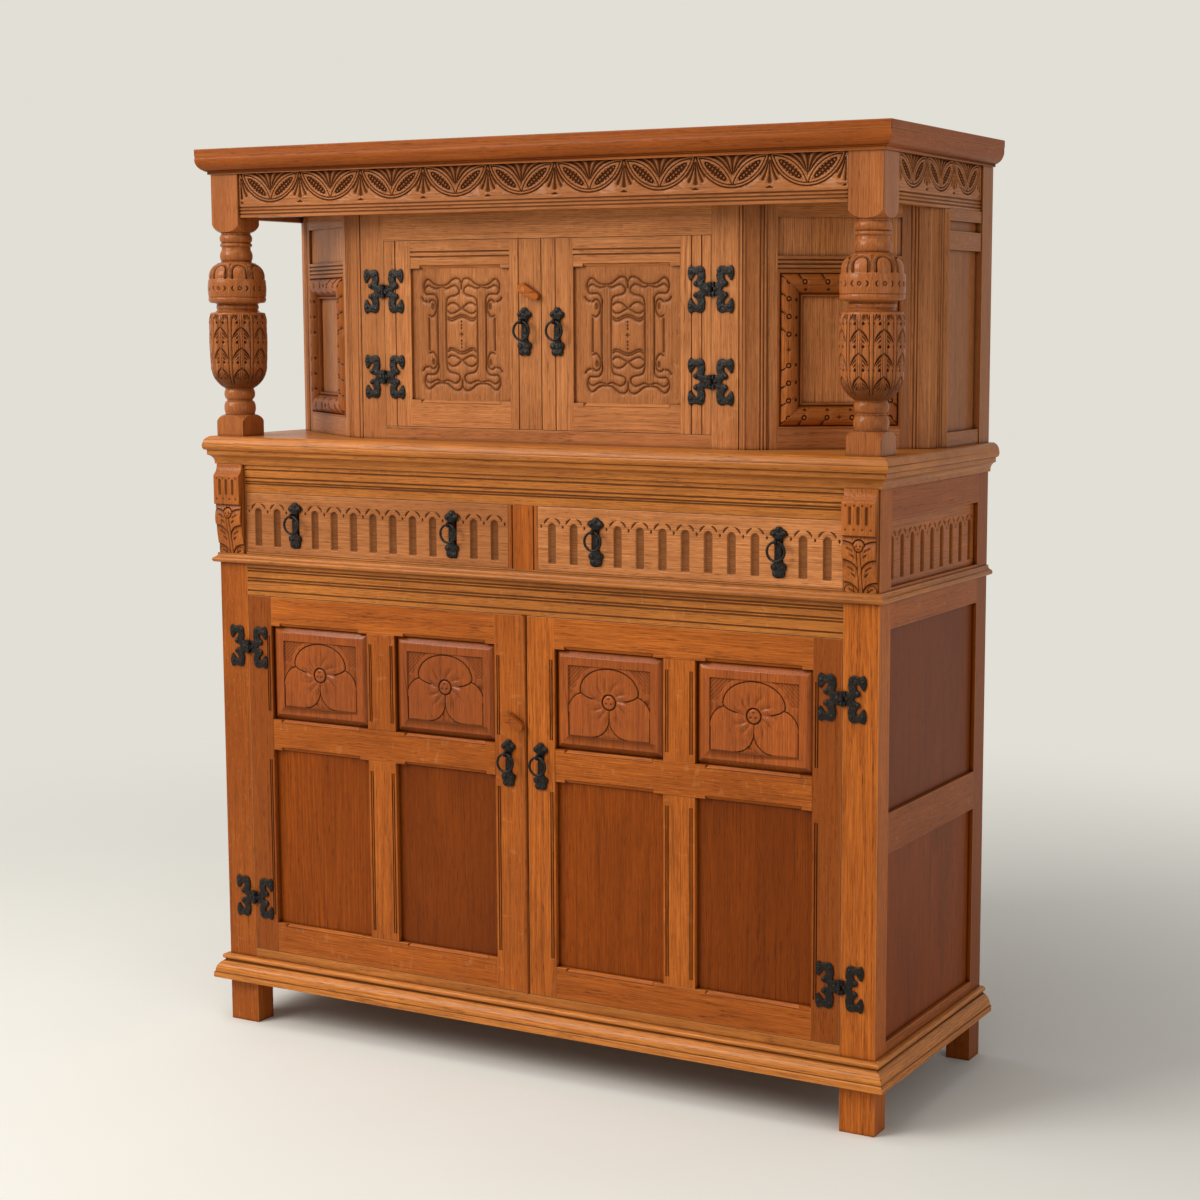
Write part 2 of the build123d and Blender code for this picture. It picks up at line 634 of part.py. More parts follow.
def lower_windows(side):
    """The four panel openings of a lower door: x0, x1, z0, z1."""
    spans = ((550.0, 334.0), (274.0, 61.0))
    windows = []
    for a, b in spans:
        x0, x1 = sorted((side * a, side * b))
        for z0, z1 in ((201.0, 531.0), (588.0, 762.5)):
            windows.append((x0, x1, z0, z1))
    return windows


def lower_door(side, name):
    """A lower door: side is -1 for the left one and 1 for the right one."""
    y0, y1 = FRONT, FRONT + DOOR_THICK
    z0, z1 = SILL + GAP, DOOR_HEAD - GAP
    hinge_edge = side * (LOWER_OPENING - GAP)
    windows = lower_windows(side)
    meeting = -5.0 if side < 0 else 6.0
    inner = side * 61.0
    stiles = [board(hinge_edge, side * 550, y0, y1, z0, z1),
              meeting_stile(*sorted((inner, meeting)), y0, z0, z1, side)]
    rails = []
    for a, b in ((z0, 201.0), (531.0, 588.0), (762.5, z1)):
        rails.append(board(side * 550, inner, y0, y1, a, b))
    for a, b in ((201.0, 531.0), (588.0, 762.5)):
        rails.append(board(side * 334, side * 274, y0, y1, a, b))
    rails = [chamfered(piece, windows, y0) for piece in rails]
    for x0, x1, a, b in windows:
        places = [x0 - 9, x0 - 5, x1 + 5, x1 + 9]
        stiles = [scratched(piece, places, y0, a + 15, b - 19) for piece in stiles]
        rails = [scratched(piece, places, y0, a + 15, b - 19) for piece in rails]
    panels = []
    for x0, x1, a, b in windows:
        sunk = y0 + 10
        tongue = board(x0 - 5, x1 + 5, sunk, sunk + 6, a - 5, b + 5)
        if b - a < 200:
            tongue = tongue + raised_field(x0, x1, a, b, sunk)
        panels.append(tongue)
    for panel in panels:
        stiles = [piece - panel for piece in stiles]
        rails = [piece - panel for piece in rails]
    frame = stiles + rails
    if side < 0:
        strip = board(meeting, 4.6, y0, y0 + 10, z0, z1)
        nose = Pos(-0.2, y0, (z0 + z1) / 2) * Cylinder(3.6, z1 - z0)
        frame.append(strip + (nose & board(-5, 4.6, y0 - 10, y0, z0, z1)))
        frame.append(pivot(LOWER_BUTTON, y0, PAD_THICK))
    save(f"{name}_frame", frame)
    save(f"{name}_panels", panels)
    save(f"{name}_ironwork", ironwork(side, LOWER_OPENING, y0, LOWER_HINGES, LOWER_PLATE))
    save(f"{name}_ring", [ring(side * LOWER_PLATE[0], y0, LOWER_PLATE[1])])


def raised_field(x0, x1, z0, z1, y_base):
    """The raised field of a carved panel: bevelled edges that rise to a flat square."""
    middle = Plane(origin=((x0 + x1) / 2, y_base, (z0 + z1) / 2), x_dir=(1, 0, 0),
                   z_dir=(0, -1, 0))
    rise = 8.0
    bevel = 12.0
    field = middle * Rectangle(x1 - x0, z1 - z0)
    slope = math.degrees(math.atan2(bevel, rise))
    return extrude(field, rise, taper=slope)


def upper_door(side, name):
    """An upper door with one panel of parchment scrolls."""
    y0, y1 = UPPER_FRONT, UPPER_FRONT + DOOR_THICK
    z0, z1 = UPPER_SILL + GAP, UPPER_HEAD - GAP
    hinge_edge = side * (UPPER_OPENING - GAP)
    outer, inner = side * 272.0, side * 64.0
    foot, head = 1180.5, 1411.5
    window = (*sorted((outer, inner)), foot, head)
    stiles = [board(hinge_edge, outer, y0, y1, z0, z1),
              meeting_stile(*sorted((inner, side * GAP)), y0, z0, z1, side)]
    rails = [board(outer, inner, y0, y1, z0, foot), board(outer, inner, y0, y1, head, z1)]
    rails = [chamfered(piece, [window], y0) for piece in rails]
    stiles = [scratched(piece, UPPER_SCRATCHES[side], y0, z0, z1) for piece in stiles]
    for z in (head + 20.5, head + 29):
        groove = Pos((outer + inner) / 2, y0, z) * Rot(0, 90, 0) * Cylinder(REED, 220)
        rails[1] = rails[1] - groove
    panel = board(window[0] - 5, window[1] + 5, y0 + 5, y0 + 15, foot - 5, head + 5)
    frame = [piece - panel for piece in stiles + rails]
    if side < 0:
        frame.append(pivot(UPPER_BUTTON, y0, 0))
    save(f"{name}_frame", frame)
    save(f"{name}_panel", [panel])
    save(f"{name}_ironwork", ironwork(side, UPPER_OPENING, y0, UPPER_HINGES, UPPER_PLATE))
    save(f"{name}_ring", [ring(side * UPPER_PLATE[0], y0, UPPER_PLATE[1])])


# ---- turn-buttons ------------------------------------------------------------------------

def pivot(place, y0, pad):
    """The dowel that a turn-button turns on, and the round pad that lifts it, if it has one."""
    x, z = place
    long = pad + BUTTON_CLEAR + BUTTON_THICK + 0.6
    dowel = Pos(x, y0 - long / 2, z) * Rot(90, 0, 0) * Cylinder(PIVOT_RADIUS, long)
    if pad:
        dowel = dowel + Pos(x, y0 - pad / 2, z) * Rot(90, 0, 0) * Cylinder(PAD_RADIUS, pad)
    return dowel


def turn_button(name, place, y0, pad):
    """A wooden turn-button: a tapered bar, round at the pivot and eased at the tip."""
    half = BUTTON_HALF
    tip = BUTTON_REACH
    face = outline((0, half + 0.5), ((-BUTTON_TAIL, 0), (0, -half - 0.5)),
                   (tip - 4, -half + 1.5), ((tip - 1, -half + 3), (tip, 0)),
                   ((tip - 1, half - 3), (tip - 4, half - 1.5)))
    face = face - Circle(PIVOT_RADIUS + 0.1)
    plane = Plane(origin=(0, 0, 0), x_dir=(1, 0, 0), z_dir=(0, -1, 0))
    bar = extrude(plane * face, BUTTON_THICK)
    place = Pos(place[0], y0 - pad - BUTTON_CLEAR, place[1]) * Rot(0, BUTTON_TILT, 0)
    save(name, [place * bar])


# ---- ironwork ----------------------------------------------------------------------------

def cock_head_arm():
    """Outline of one arm of a cock's-head leaf, from the knuckle out: neck, crest and beak."""
    return outline((3, 0), (20.4, 0), (24, 4), ((32, 7.5), (30, 13.5)),
                   ((26.5, 17), (25, 21)), ((26.5, 24.5), (30, 23)), (36, 15),
                   ((38.5, 14), (40.5, 16)), ((43.5, 26), (41.5, 37)), (37.5, 40.5),
                   ((30, 37), (25, 38)), ((13.5, 36), (11, 27)), ((10, 20), (12, 14)),
                   (12, 11), (3, 11))


def hinge_leaf(x, y0, z, way, fixed):
    """A face-mounted leaf, its knuckles and, on the fixed leaf, the pin. way points outwards."""
    plane = Plane(origin=(x, y0, z), x_dir=(way, 0, 0), z_dir=(0, -1, 0))
    arm = cock_head_arm()
    flat = arm + mirror(arm, about=Plane.XZ)
    leaf = extrude(plane * flat, LEAF_THICK)
    clear = KNUCKLE_RADIUS + 0.5
    spans = ((-KNUCKLE_HALF, -KNUCKLE_SPLIT), (KNUCKLE_SPLIT, KNUCKLE_HALF))
    if not fixed:
        spans = ((-KNUCKLE_SPLIT + 0.2, KNUCKLE_SPLIT - 0.2),)
    near, far = sorted((x - way, x + way * clear))
    leaf = leaf - board(near, far, y0 - 5, y0 + 1, z - 30, z + 30)
    axis = (x, y0 - PIN_OUT)
    for z0, z1 in spans:
        tube = Pos(*axis, z + (z0 + z1) / 2) * Cylinder(KNUCKLE_RADIUS, z1 - z0)
        near, far = sorted((x, x + way * (clear + 3)))
        web = board(near, far, y0 - PIN_OUT - 1, y0 - 0.6, z + z0, z + z1)
        leaf = leaf + tube + web
    if fixed:
        leaf = leaf + Pos(*axis, z) * Cylinder(PIN_RADIUS, 2 * KNUCKLE_HALF)
    else:
        leaf = leaf - Pos(*axis, z) * Cylinder(PIN_RADIUS + 0.1, 2 * KNUCKLE_HALF)
    return leaf


def plate_outline():
    """Outline of a back plate: a crown of three lobes, a waist, and two lobes on small feet."""
    return outline((-4.0, 41.5), ((0.0, 42.0), (4.0, 41.5)), ((7.0, 37.0), (9.0, 35.0)),
                   ((14.0, 31.0), (11.5, 25.5)), ((6.5, 21.0), (5.5, 14.0)),
                   (5.5, -12.0), ((8.0, -17.0), (12.0, -19.0)), ((14.0, -25.0), (10.0, -30.0)),
                   ((10.5, -37.0), (6.0, -41.0)), ((0.0, -39.5), (-6.0, -41.0)),
                   ((-10.5, -37.0), (-10.0, -30.0)), ((-14.0, -25.0), (-12.0, -19.0)),
                   ((-8.0, -17.0), (-5.5, -12.0)), (-5.5, 14.0), ((-6.5, 21.0), (-11.5, 25.5)),
                   ((-14.0, 31.0), (-9.0, 35.0)), ((-7.0, 37.0), (-4.0, 41.5)))


def handle_plate(x, y0, z):
    """A back plate with the eye that carries its ring."""
    plane = Plane(origin=(x, y0, z), x_dir=(1, 0, 0), z_dir=(0, -1, 0))
    plate = extrude(plane * plate_outline(), PLATE_THICK)
    eye_z = z + RING_RISE
    neck = board(x - 2.4, x + 2.4, y0 - RING_OUT, y0 - PLATE_THICK, eye_z - 4.2, eye_z + 4.2)
    barrel = Pos(x, y0 - RING_OUT, eye_z) * Rot(0, 90, 0) * Cylinder(4.9, 4.8)
    bore = Pos(x, y0 - RING_OUT, eye_z) * Rot(0, 90, 0) * Cylinder(EYE_RADIUS, 8)
    return plate + neck + barrel - bore


def ring(x, y0, z):
    """A ring that hangs in the eye of its plate."""
    middle = Pos(x, y0 - RING_OUT, z + RING_RISE - RING_RADIUS)
    return middle * Rot(90, 0, 0) * Torus(RING_RADIUS, RING_WIRE)


def ironwork(side, opening, y0, heights, plate):
    """A door's own hinge leaves and its handle plate."""
    pin = side * (opening - GAP / 2)
    leaves = [hinge_leaf(pin, y0, z, -side, False) for z in heights]
    return leaves + [handle_plate(side * plate[0], y0, plate[1])]


def fixed_leaves():
    """The leaves on the posts and on the upper frame, with the pins in them."""
    leaves = []
    for opening, y0, heights in ((LOWER_OPENING, FRONT, LOWER_HINGES),
                                 (UPPER_OPENING, UPPER_FRONT, UPPER_HINGES)):
        for z in heights:
            leaves.append(hinge_leaf(opening - GAP / 2, y0, z, 1, True))
    save("fixed_hinge_leaves", mirrored(leaves))


# ---- drawers -----------------------------------------------------------------------------

def drawer(side, name):
    """A drawer: fluted front, box and two ring handles."""
    x0, x1 = sorted((side * (DIVIDER + GAP), side * (LOWER_OPENING - GAP)))
    y1 = FRONT + DRAWER_FRONT_THICK
    z0, z1 = DRAWER_SILL + GAP, DRAWER_HEAD - GAP
    face = board(x0, x1, FRONT, y1, z0, z1)
    middle = (x0 + x1) / 2
    for i in range(FLUTES):
        x = middle + (i - (FLUTES - 1) / 2) * FLUTE_PITCH
        face = face - flute_cutter(x, FRONT, FLUTE_DEEP)
    back = FRONT + DRAWER_BOX
    left, right = x0 + 0.8, x1 - 0.8
    thick = DRAWER_SIDE
    foot, top = DRAWER_FOOT, DRAWER_SIDE_TOP
    box = [board(left, left + thick, y1, back, foot, top),
           board(right - thick, right, y1, back, foot, top),
           board(left + thick, right - thick, back - thick, back, foot, DRAWER_BACK_TOP),
           board(left + thick, right - thick, y1, back - thick, *DRAWER_BOTTOM)]
    save(f"{name}_front", [face])
    save(f"{name}_box", box)
    plates = []
    for place, x in zip(("inner", "outer"), DRAWER_PLATES):
        plates.append(handle_plate(side * x, FRONT, DRAWER_PLATE_HEIGHT))
        save(f"{name}_{place}_ring", [ring(side * x, FRONT, DRAWER_PLATE_HEIGHT)])
    save(f"{name}_plates", plates)


def main():
    os.makedirs("parts", exist_ok=True)
    lower_carcass()
    inside_lower()
    front_rails()
    runners()
    corbels()
    middle_shelf()
    turned_posts()
    corner_posts()
    front_frame()
    canted_walls()
    top_works()
    fixed_leaves()
    for side, word in ((-1, "left"), (1, "right")):
        lower_door(side, f"lower_{word}_door")
        upper_door(side, f"upper_{word}_door")
        drawer(side, f"{word}_drawer")
    turn_button("lower_turn_button", LOWER_BUTTON, FRONT, PAD_THICK)
    turn_button("upper_turn_button", UPPER_BUTTON, UPPER_FRONT, 0)


main()
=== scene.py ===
import functools
import json
import math

import bmesh
import bpy
import numpy as np
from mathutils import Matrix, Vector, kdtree


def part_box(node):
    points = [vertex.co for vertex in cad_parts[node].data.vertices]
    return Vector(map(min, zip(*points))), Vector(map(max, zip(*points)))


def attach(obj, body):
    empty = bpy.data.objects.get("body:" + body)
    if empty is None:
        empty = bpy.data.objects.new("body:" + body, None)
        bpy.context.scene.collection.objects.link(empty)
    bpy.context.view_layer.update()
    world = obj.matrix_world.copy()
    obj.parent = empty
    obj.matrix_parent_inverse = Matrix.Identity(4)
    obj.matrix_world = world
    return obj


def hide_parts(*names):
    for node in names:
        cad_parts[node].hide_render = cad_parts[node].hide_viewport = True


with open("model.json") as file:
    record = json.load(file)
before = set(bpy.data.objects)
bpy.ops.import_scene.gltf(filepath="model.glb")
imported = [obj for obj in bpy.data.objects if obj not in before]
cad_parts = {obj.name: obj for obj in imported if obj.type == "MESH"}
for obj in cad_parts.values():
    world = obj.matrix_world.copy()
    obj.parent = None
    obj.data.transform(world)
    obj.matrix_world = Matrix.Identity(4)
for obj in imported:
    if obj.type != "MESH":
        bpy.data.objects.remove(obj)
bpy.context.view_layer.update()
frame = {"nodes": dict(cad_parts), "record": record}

# Court cupboard in waxed oak: finishes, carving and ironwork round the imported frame. Metres,
# X to the right, Y to the back, Z up.

MM = 0.001
NODES = frame["nodes"]
BODY_OF = {node: body for body, nodes in frame["record"]["behaviour"]["bodies"].items()
           for node in nodes}

# ---- sizes ----

ARRIS = 0.8 * MM                    # how far the edges of the boards are rounded
CANT = math.radians(35.5)           # the canted walls, in plan
WELD = 0.001 * MM
FLAT = math.radians(0.3)            # faces that meet at less than this are one face
CREASE = math.radians(32)           # edges between faces at more than this are rounded
SHORT_EDGE = 3 * MM                 # unless they are shorter than this
LEAST_FACE = 2.5 * MM               # a face narrower than this keeps its sharp edges
GROOVE_FACE = 2.3 * MM              # the sides of a groove are narrower than this
HOLLOW = math.radians(8)            # and meet each other or the next face at more than this
QUARTERED = 0.45                    # the share of boards that are cut along the tree's rays
TONE_SPREAD = 0.25                  # how much the boards of one node differ
TALL_PANEL = 0.25                   # the plain panels of the lower doors are taller than this


# ---- camera and stage ----

def set_camera():
    lens = bpy.data.cameras.new("camera")
    lens.sensor_width = 36.0
    lens.lens = 66.86
    lens.shift_x = -0.0733
    camera = in_scene("camera", lens)
    camera.location = (2.047, -3.447, 1.328)
    camera.rotation_euler = (math.radians(82.743), 0.0, math.radians(28.183))
    bpy.context.scene.camera = camera


# ---- a small language for materials ----

class Value:
    """A number in a material. Arithmetic on it adds Math nodes."""

    def __init__(self, finish, socket):
        self.finish = finish
        self.socket = socket

    def math(self, operation, *values):
        return self.finish.value("Math", {"operation": operation}, dict(enumerate(values)))

    def fraction(self):
        return self.math("FRACT", self)

    def ramp(self, low, high):
        """0 below low, 1 above high and smooth between them."""
        inputs = {"Value": self, "From Min": low, "From Max": high}
        return self.finish.value("MapRange", {"interpolation_type": "SMOOTHSTEP"}, inputs)


def arithmetic(operation, swapped=False):
    """What a sign does with a Value before it, or with one after it."""
    def made(self, other):
        return self.math(operation, *((other, self) if swapped else (self, other)))
    return made


for sign, operation in (("add", "ADD"), ("sub", "SUBTRACT"), ("mul", "MULTIPLY"),
                        ("truediv", "DIVIDE"), ("pow", "POWER")):
    setattr(Value, f"__{sign}__", arithmetic(operation))
    setattr(Value, f"__r{sign}__", arithmetic(operation, swapped=True))


def add_node(tree, kind, settings=None, inputs=None):
    """A node of a kind, with its settings first and then its sockets' values or links."""
    made = tree.nodes.new(kind)
    for name, value in (settings or {}).items():
        setattr(made, name, value)
    for name, value in (inputs or {}).items():
        value = getattr(value, "socket", value)
        if isinstance(value, bpy.types.NodeSocket):
            tree.links.new(value, made.inputs[name])
        else:
            made.inputs[name].default_value = value
    return made


class Finish:
    """A material, or a world, and the nodes that make it."""

    def __init__(self, name, family="materials"):
        self.owner = getattr(bpy.data, family).new(name)
        self.owner.use_nodes = True
        self.tree = self.owner.node_tree
        self.tree.nodes.clear()

    def node(self, kind, settings=None, inputs=None):
        return add_node(self.tree, "ShaderNode" + kind, settings, inputs)

    def value(self, kind, settings=None, inputs=None, output=0):
        return Value(self, self.node(kind, settings, inputs).outputs[output])

    def attribute(self, name):
        """A number that the mesh carries."""
        return self.value("Attribute", {"attribute_name": name}, output="Fac")

    def vector(self, name):
        """A vector that the mesh carries."""
        return self.node("Attribute", {"attribute_name": name}).outputs["Vector"]

    def stretched(self, vector, x, y, z):
        """A vector, multiplied along each axis."""
        return self.node("VectorMath", {"operation": "MULTIPLY"},
                         {0: vector, 1: (x, y, z)}).outputs[0]

    def noise(self, vector, scale=1.0, detail=2.0, roughness=0.5):
        return self.value("TexNoise", {}, {"Vector": vector, "Scale": scale, "Detail": detail,
                                           "Roughness": roughness})

    def mix(self, share, first, second):
        """A colour between two colours."""
        return self.node("Mix", {"data_type": "RGBA"},
                         {0: share, 6: first, 7: second}).outputs[2]

    def surface(self, constants, colour, roughness, normal, coat=0.0):
        """The finished surface. constants are the same all over it."""
        shader = self.node("BsdfPrincipled", {}, {
            **constants, "Base Color": colour, "Roughness": roughness, "Normal": normal,
            "Coat Weight": coat})
        self.node("OutputMaterial", {}, {"Surface": shader.outputs[0]})
        return self.owner


def colour(red, green, blue):
    """A colour written as it looks on a screen, 0 to 255, in the renderer's own terms."""
    def linear(part):
        share = part / 255
        return share / 12.92 if share <= 0.04045 else ((share + 0.055) / 1.055) ** 2.4
    return (linear(red), linear(green), linear(blue), 1.0)


# ---- finishes ----

RING_WIDE = 3.0 * MM                # one year's growth of the oak
DARK_WAX_AND_SHADE = colour(58, 24, 6)        # the dark of wax gathered in the hollows, also used there as painted shade
PALE_WEAR_AND_SHEEN = colour(214, 152, 96)       # what polishing has rubbed pale, also used as painted sheen on rounded edges
# how fast each pattern in the wood changes, per metre, across the grain and along it, with its
# detail and roughness: sway of the rings, fibres, streaks, pores, blotches, clouds
PATTERNS = ((7.0, 1.3, 1.5, 0.5), (620.0, 14.0, 3.0, 0.7), (210.0, 3.5, 3.0, 0.6),
            (900.0, 45.0, 1.5, 0.5), (9.0, 2.2, 3.0, 0.5), (30.0, 9.0, 2.0, 0.5))


def oak(name, light, dark, gloss=0.40, coat=0.14, fleck=0.12):
    """Waxed oak, cut from a tree whose growth rings and rays are worked out in the round."""
    finish = Finish(name)
    tree = finish.vector("tree")
    split = finish.node("SeparateXYZ", {}, {0: tree}).outputs
    x, y = Value(finish, split[0]), Value(finish, split[1])
    tone = finish.attribute("tone")

    sway, fibre, streak, pores, blotch, cloud = (
        finish.noise(finish.stretched(tree, across, across, along), 1.0, detail, roughness)
        for across, along, detail, roughness in PATTERNS)
    far = (x * x + y * y) ** 0.5
    season = ((far + sway * 0.02) / RING_WIDE).fraction()
    early = 1 - season.ramp(0.05, 0.6)
    pore = pores.ramp(0.53, 0.66) * (early * 0.7 + 0.3)

    turn = y.math("ARCTAN2", y, x)
    ray_place = finish.node("CombineXYZ", {}, {0: turn * 260.0, 1: far * 34.0,
                                               2: Value(finish, split[2]) * 90.0}).outputs[0]
    ray = finish.noise(ray_place, detail=1.0).ramp(0.62, 0.74)

    body = finish.mix(fibre.ramp(0.28, 0.72) * 0.75 + 0.2, dark, light)
    depth = (blotch - 0.5) * 1.1 + (cloud - 0.5) * 0.5 + (tone - 0.5) * 0.6
    deep = finish.mix(0.2, finish.mix(0.75, body, dark), DARK_WAX_AND_SHADE)
    body = finish.mix(depth.ramp(-0.5, 0.5), deep, body)
    body = finish.mix(early * 0.35, body, dark)
    body = finish.mix(streak.ramp(0.5, 0.72) * 0.3, body, DARK_WAX_AND_SHADE)
    body = finish.mix(ray * fleck, body, PALE_WEAR_AND_SHEEN)
    body = finish.mix(pore * 0.62, body, DARK_WAX_AND_SHADE)

    # Painted shade: where the surface is occluded it is mixed towards the dark wax colour.
    occluded = finish.value("AmbientOcclusion", {"samples": 6},
                            {"Distance": 9 * MM}, output="AO")
    occluded_shade = (1 - occluded).ramp(0.15, 0.65) * 0.8
    wear_wax_and_light = finish.attribute("wear_wax_and_light")
    # Darker where the mesh marks it and in grooves: wax, and painted shade.
    wax_and_shade = finish.attribute("wax_and_shade") + (0 - wear_wax_and_light).ramp(0.0, 1.0) * 0.75
    body = finish.mix(occluded_shade, body, DARK_WAX_AND_SHADE)
    body = finish.mix(wax_and_shade * 0.88, body, DARK_WAX_AND_SHADE)
    # Paler on rounded edges: wear, and painted sheen.
    body = finish.mix(wear_wax_and_light.ramp(0.0, 1.0) * 0.3, body, PALE_WEAR_AND_SHEEN)

    roughness = fibre * 0.10 + gloss + wax_and_shade * 0.25
    height = fibre * 0.3 - pore * 0.7 - early * 0.2 + cloud * 0.5
    bump = finish.node("Bump", {}, {"Strength": 0.4, "Distance": 0.4 * MM, "Height": height})
    constants = {"Coat Roughness": 0.16, "Specular IOR Level": 0.1,
                 "Specular Tint": (1.0, 0.74, 0.45, 1.0)}
    shine = coat * (1 - wax_and_shade)
    return finish.surface(constants, body, roughness, bump.outputs[0], shine)


def black_iron():
    """Blackened iron, pitted, with patches of brown."""
    finish = Finish("black_iron")
    place = finish.node("TexCoord").outputs["Object"]
    pits = finish.noise(place, scale=420.0, detail=3.0, roughness=0.6)
    cloud = finish.noise(place, scale=90.0, detail=2.0)
    rust = cloud.ramp(0.5, 0.75) * 0.5
    body = finish.mix(rust, colour(22, 18, 14), colour(52, 36, 22))
    roughness = cloud * 0.2 + pits * 0.2 + 0.12
    height = pits + cloud * 2.0
    bump = finish.node("Bump", {}, {"Strength": 0.9, "Distance": 1.0 * MM, "Height": height})
    constants = {"Metallic": 0.3, "Specular IOR Level": 0.28}
    return finish.surface(constants, body, roughness, bump.outputs[0])


FRAME_OAK = oak("frame_oak", colour(204, 112, 40), colour(136, 64, 18), coat=0.09)
PANEL_OAK = oak("panel_oak", colour(160, 76, 14), colour(110, 46, 6), coat=0.06, fleck=0.0)
UPPER_OAK = oak("upper_oak", colour(216, 140, 82), colour(148, 86, 44))
CARVED_OAK = oak("carved_oak", colour(202, 116, 50), colour(142, 74, 28), fleck=0.06)
MOULD_OAK = oak("mould_oak", colour(214, 132, 58), colour(150, 84, 30), coat=0.2)
PETAL_OAK = oak("petal_oak", colour(196, 100, 34), colour(132, 61, 18), coat=0.3, fleck=0.0)
TURNED_OAK = oak("turned_oak", colour(198, 118, 62), colour(140, 76, 34), gloss=0.26, coat=0.2)
INSIDE_OAK = oak("inside_oak", colour(170, 118, 70), colour(126, 80, 42), gloss=0.6, coat=0.0)
IRON = black_iron()


# ---- pieces ----

def read(items, name, width, kind=float):
    values = np.zeros(len(items) * width, kind)
    items.foreach_get(name, values)
    return values.reshape(-1, width)


def solids_of(node):
    """The closed solids of a node, in order, as (points, triangles)."""
    mesh = NODES[node].data
    mesh.calc_loop_triangles()
    points = read(mesh.vertices, "co", 3)
    triangles = read(mesh.loop_triangles, "vertices", 3, int)
    _, first, same = np.unique(np.round(points / WELD).astype(np.int64), axis=0,
                               return_index=True, return_inverse=True)
    triangles = same.reshape(-1)[triangles]
    points = points[first]
    found, waiting, start = [], set(), 0
    for i, (a, b, c) in enumerate(triangles.tolist()):
        if a == b or b == c or c == a:
            continue
        for edge in ((a, b), (b, c), (c, a)):
            back = (edge[1], edge[0])
            if back in waiting:
                waiting.discard(back)
            else:
                waiting.add(edge)
        if not waiting:
            used, local = np.unique(triangles[start:i + 1], return_inverse=True)
            found.append((points[used], local.reshape(-1, 3)))
            start = i + 1
    return found


def in_scene(name, data):
    """An object made of some data, linked to the scene."""
    made = bpy.data.objects.new(name, data)
    bpy.context.scene.collection.objects.link(made)
    return made


def finished(piece, node):
    """A made piece stands for its node and rides where that does."""
    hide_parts(node)
    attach(piece, BODY_OF[node])


def worked_out(data, prepare=lambda holder: None):
    """The mesh of some data with the modifiers that prepare adds."""
    holder = in_scene("holder", data)
    prepare(holder)
    graph = bpy.context.evaluated_depsgraph_get()
    made = bpy.data.meshes.new_from_object(holder.evaluated_get(graph))
    bpy.data.objects.remove(holder)
    return made


def arrays_of(work):
    """The points and faces of a bmesh, which is freed."""
    work.verts.index_update()
    points = np.array([vertex.co for vertex in work.verts])
    faces = [[vertex.index for vertex in face.verts] for face in work.faces]
    work.free()
    return points, faces


class Parts:
    """Solids that go together into one piece, with what each carries for its material."""

    def __init__(self):
        self.count = 0
        self.points, self.faces, self.wear_wax_and_light = [], [], []
        self.carried = {"tree": [], "tone": [], "wax_and_shade": []}

    def add(self, points, faces, tree, tone=0.5, wax_and_shade=0.0, wear_wax_and_light=None, turned_over=False):
        for face in faces:
            corners = [self.count + corner for corner in face]
            self.faces.append(corners[::-1] if turned_over else corners)
        self.wear_wax_and_light += [0.0] * len(faces) if wear_wax_and_light is None else wear_wax_and_light
        self.points.append(points)
        self.count += len(points)
        self.carried["tree"].append(tree)
        self.carried["tone"].append(np.full(len(points), tone))
        self.carried["wax_and_shade"].append(np.broadcast_to(wax_and_shade, len(points)))

    def add_eased(self, solid, width, rng, tone, upright=None, grain=None):
        """A solid with its edges rounded, cut from a place of its own in a tree."""
        work = ease_edges(solid, width)
        layer = work.faces.layers.float["wear_wax_and_light"]
        wear_wax_and_light = [face[layer] for face in work.faces]
        points, faces = arrays_of(work)
        tree = grain(points) if grain else grain_of(points, rng, upright)
        self.add(points, faces, tree, tone, wear_wax_and_light=wear_wax_and_light)

    def piece(self, name, node, material, slot, smooth=38, even=False):
        mesh = bpy.data.meshes.new(name)
        mesh.from_pydata(np.concatenate(self.points).tolist(), [], self.faces)
        for carried, values in self.carried.items():
            add_values(mesh, carried, np.concatenate(values))
        add_values(mesh, "wear_wax_and_light", self.wear_wax_and_light, "FACE")
        mesh.polygons.foreach_set("use_smooth", [True] * len(mesh.polygons))
        mesh.set_sharp_from_angle(angle=math.radians(smooth))
        mesh.materials.append(material)
        mesh.update()
        piece = in_scene(name, mesh)
        if even:
            piece.modifiers.new("even_shading", "WEIGHTED_NORMAL").keep_sharp = True
        finished(piece, node)


def add_values(mesh, name, values, domain="POINT"):
    """Numbers or vectors that a mesh carries for its material."""
    kind = "FLOAT_VECTOR" if np.ndim(values) == 2 else "FLOAT"
    held = mesh.attributes.new(name, kind, domain)
    part = "vector" if kind == "FLOAT_VECTOR" else "value"
    held.data.foreach_set(part, np.asarray(values, np.float32).ravel())


# ---- boards ----

def turned_in_plan(points, angle):
    """Points, turned about Z."""
    c, s = math.cos(angle), math.sin(angle)
    return points @ np.array([[c, s, 0], [-s, c, 0], [0, 0, 1]])


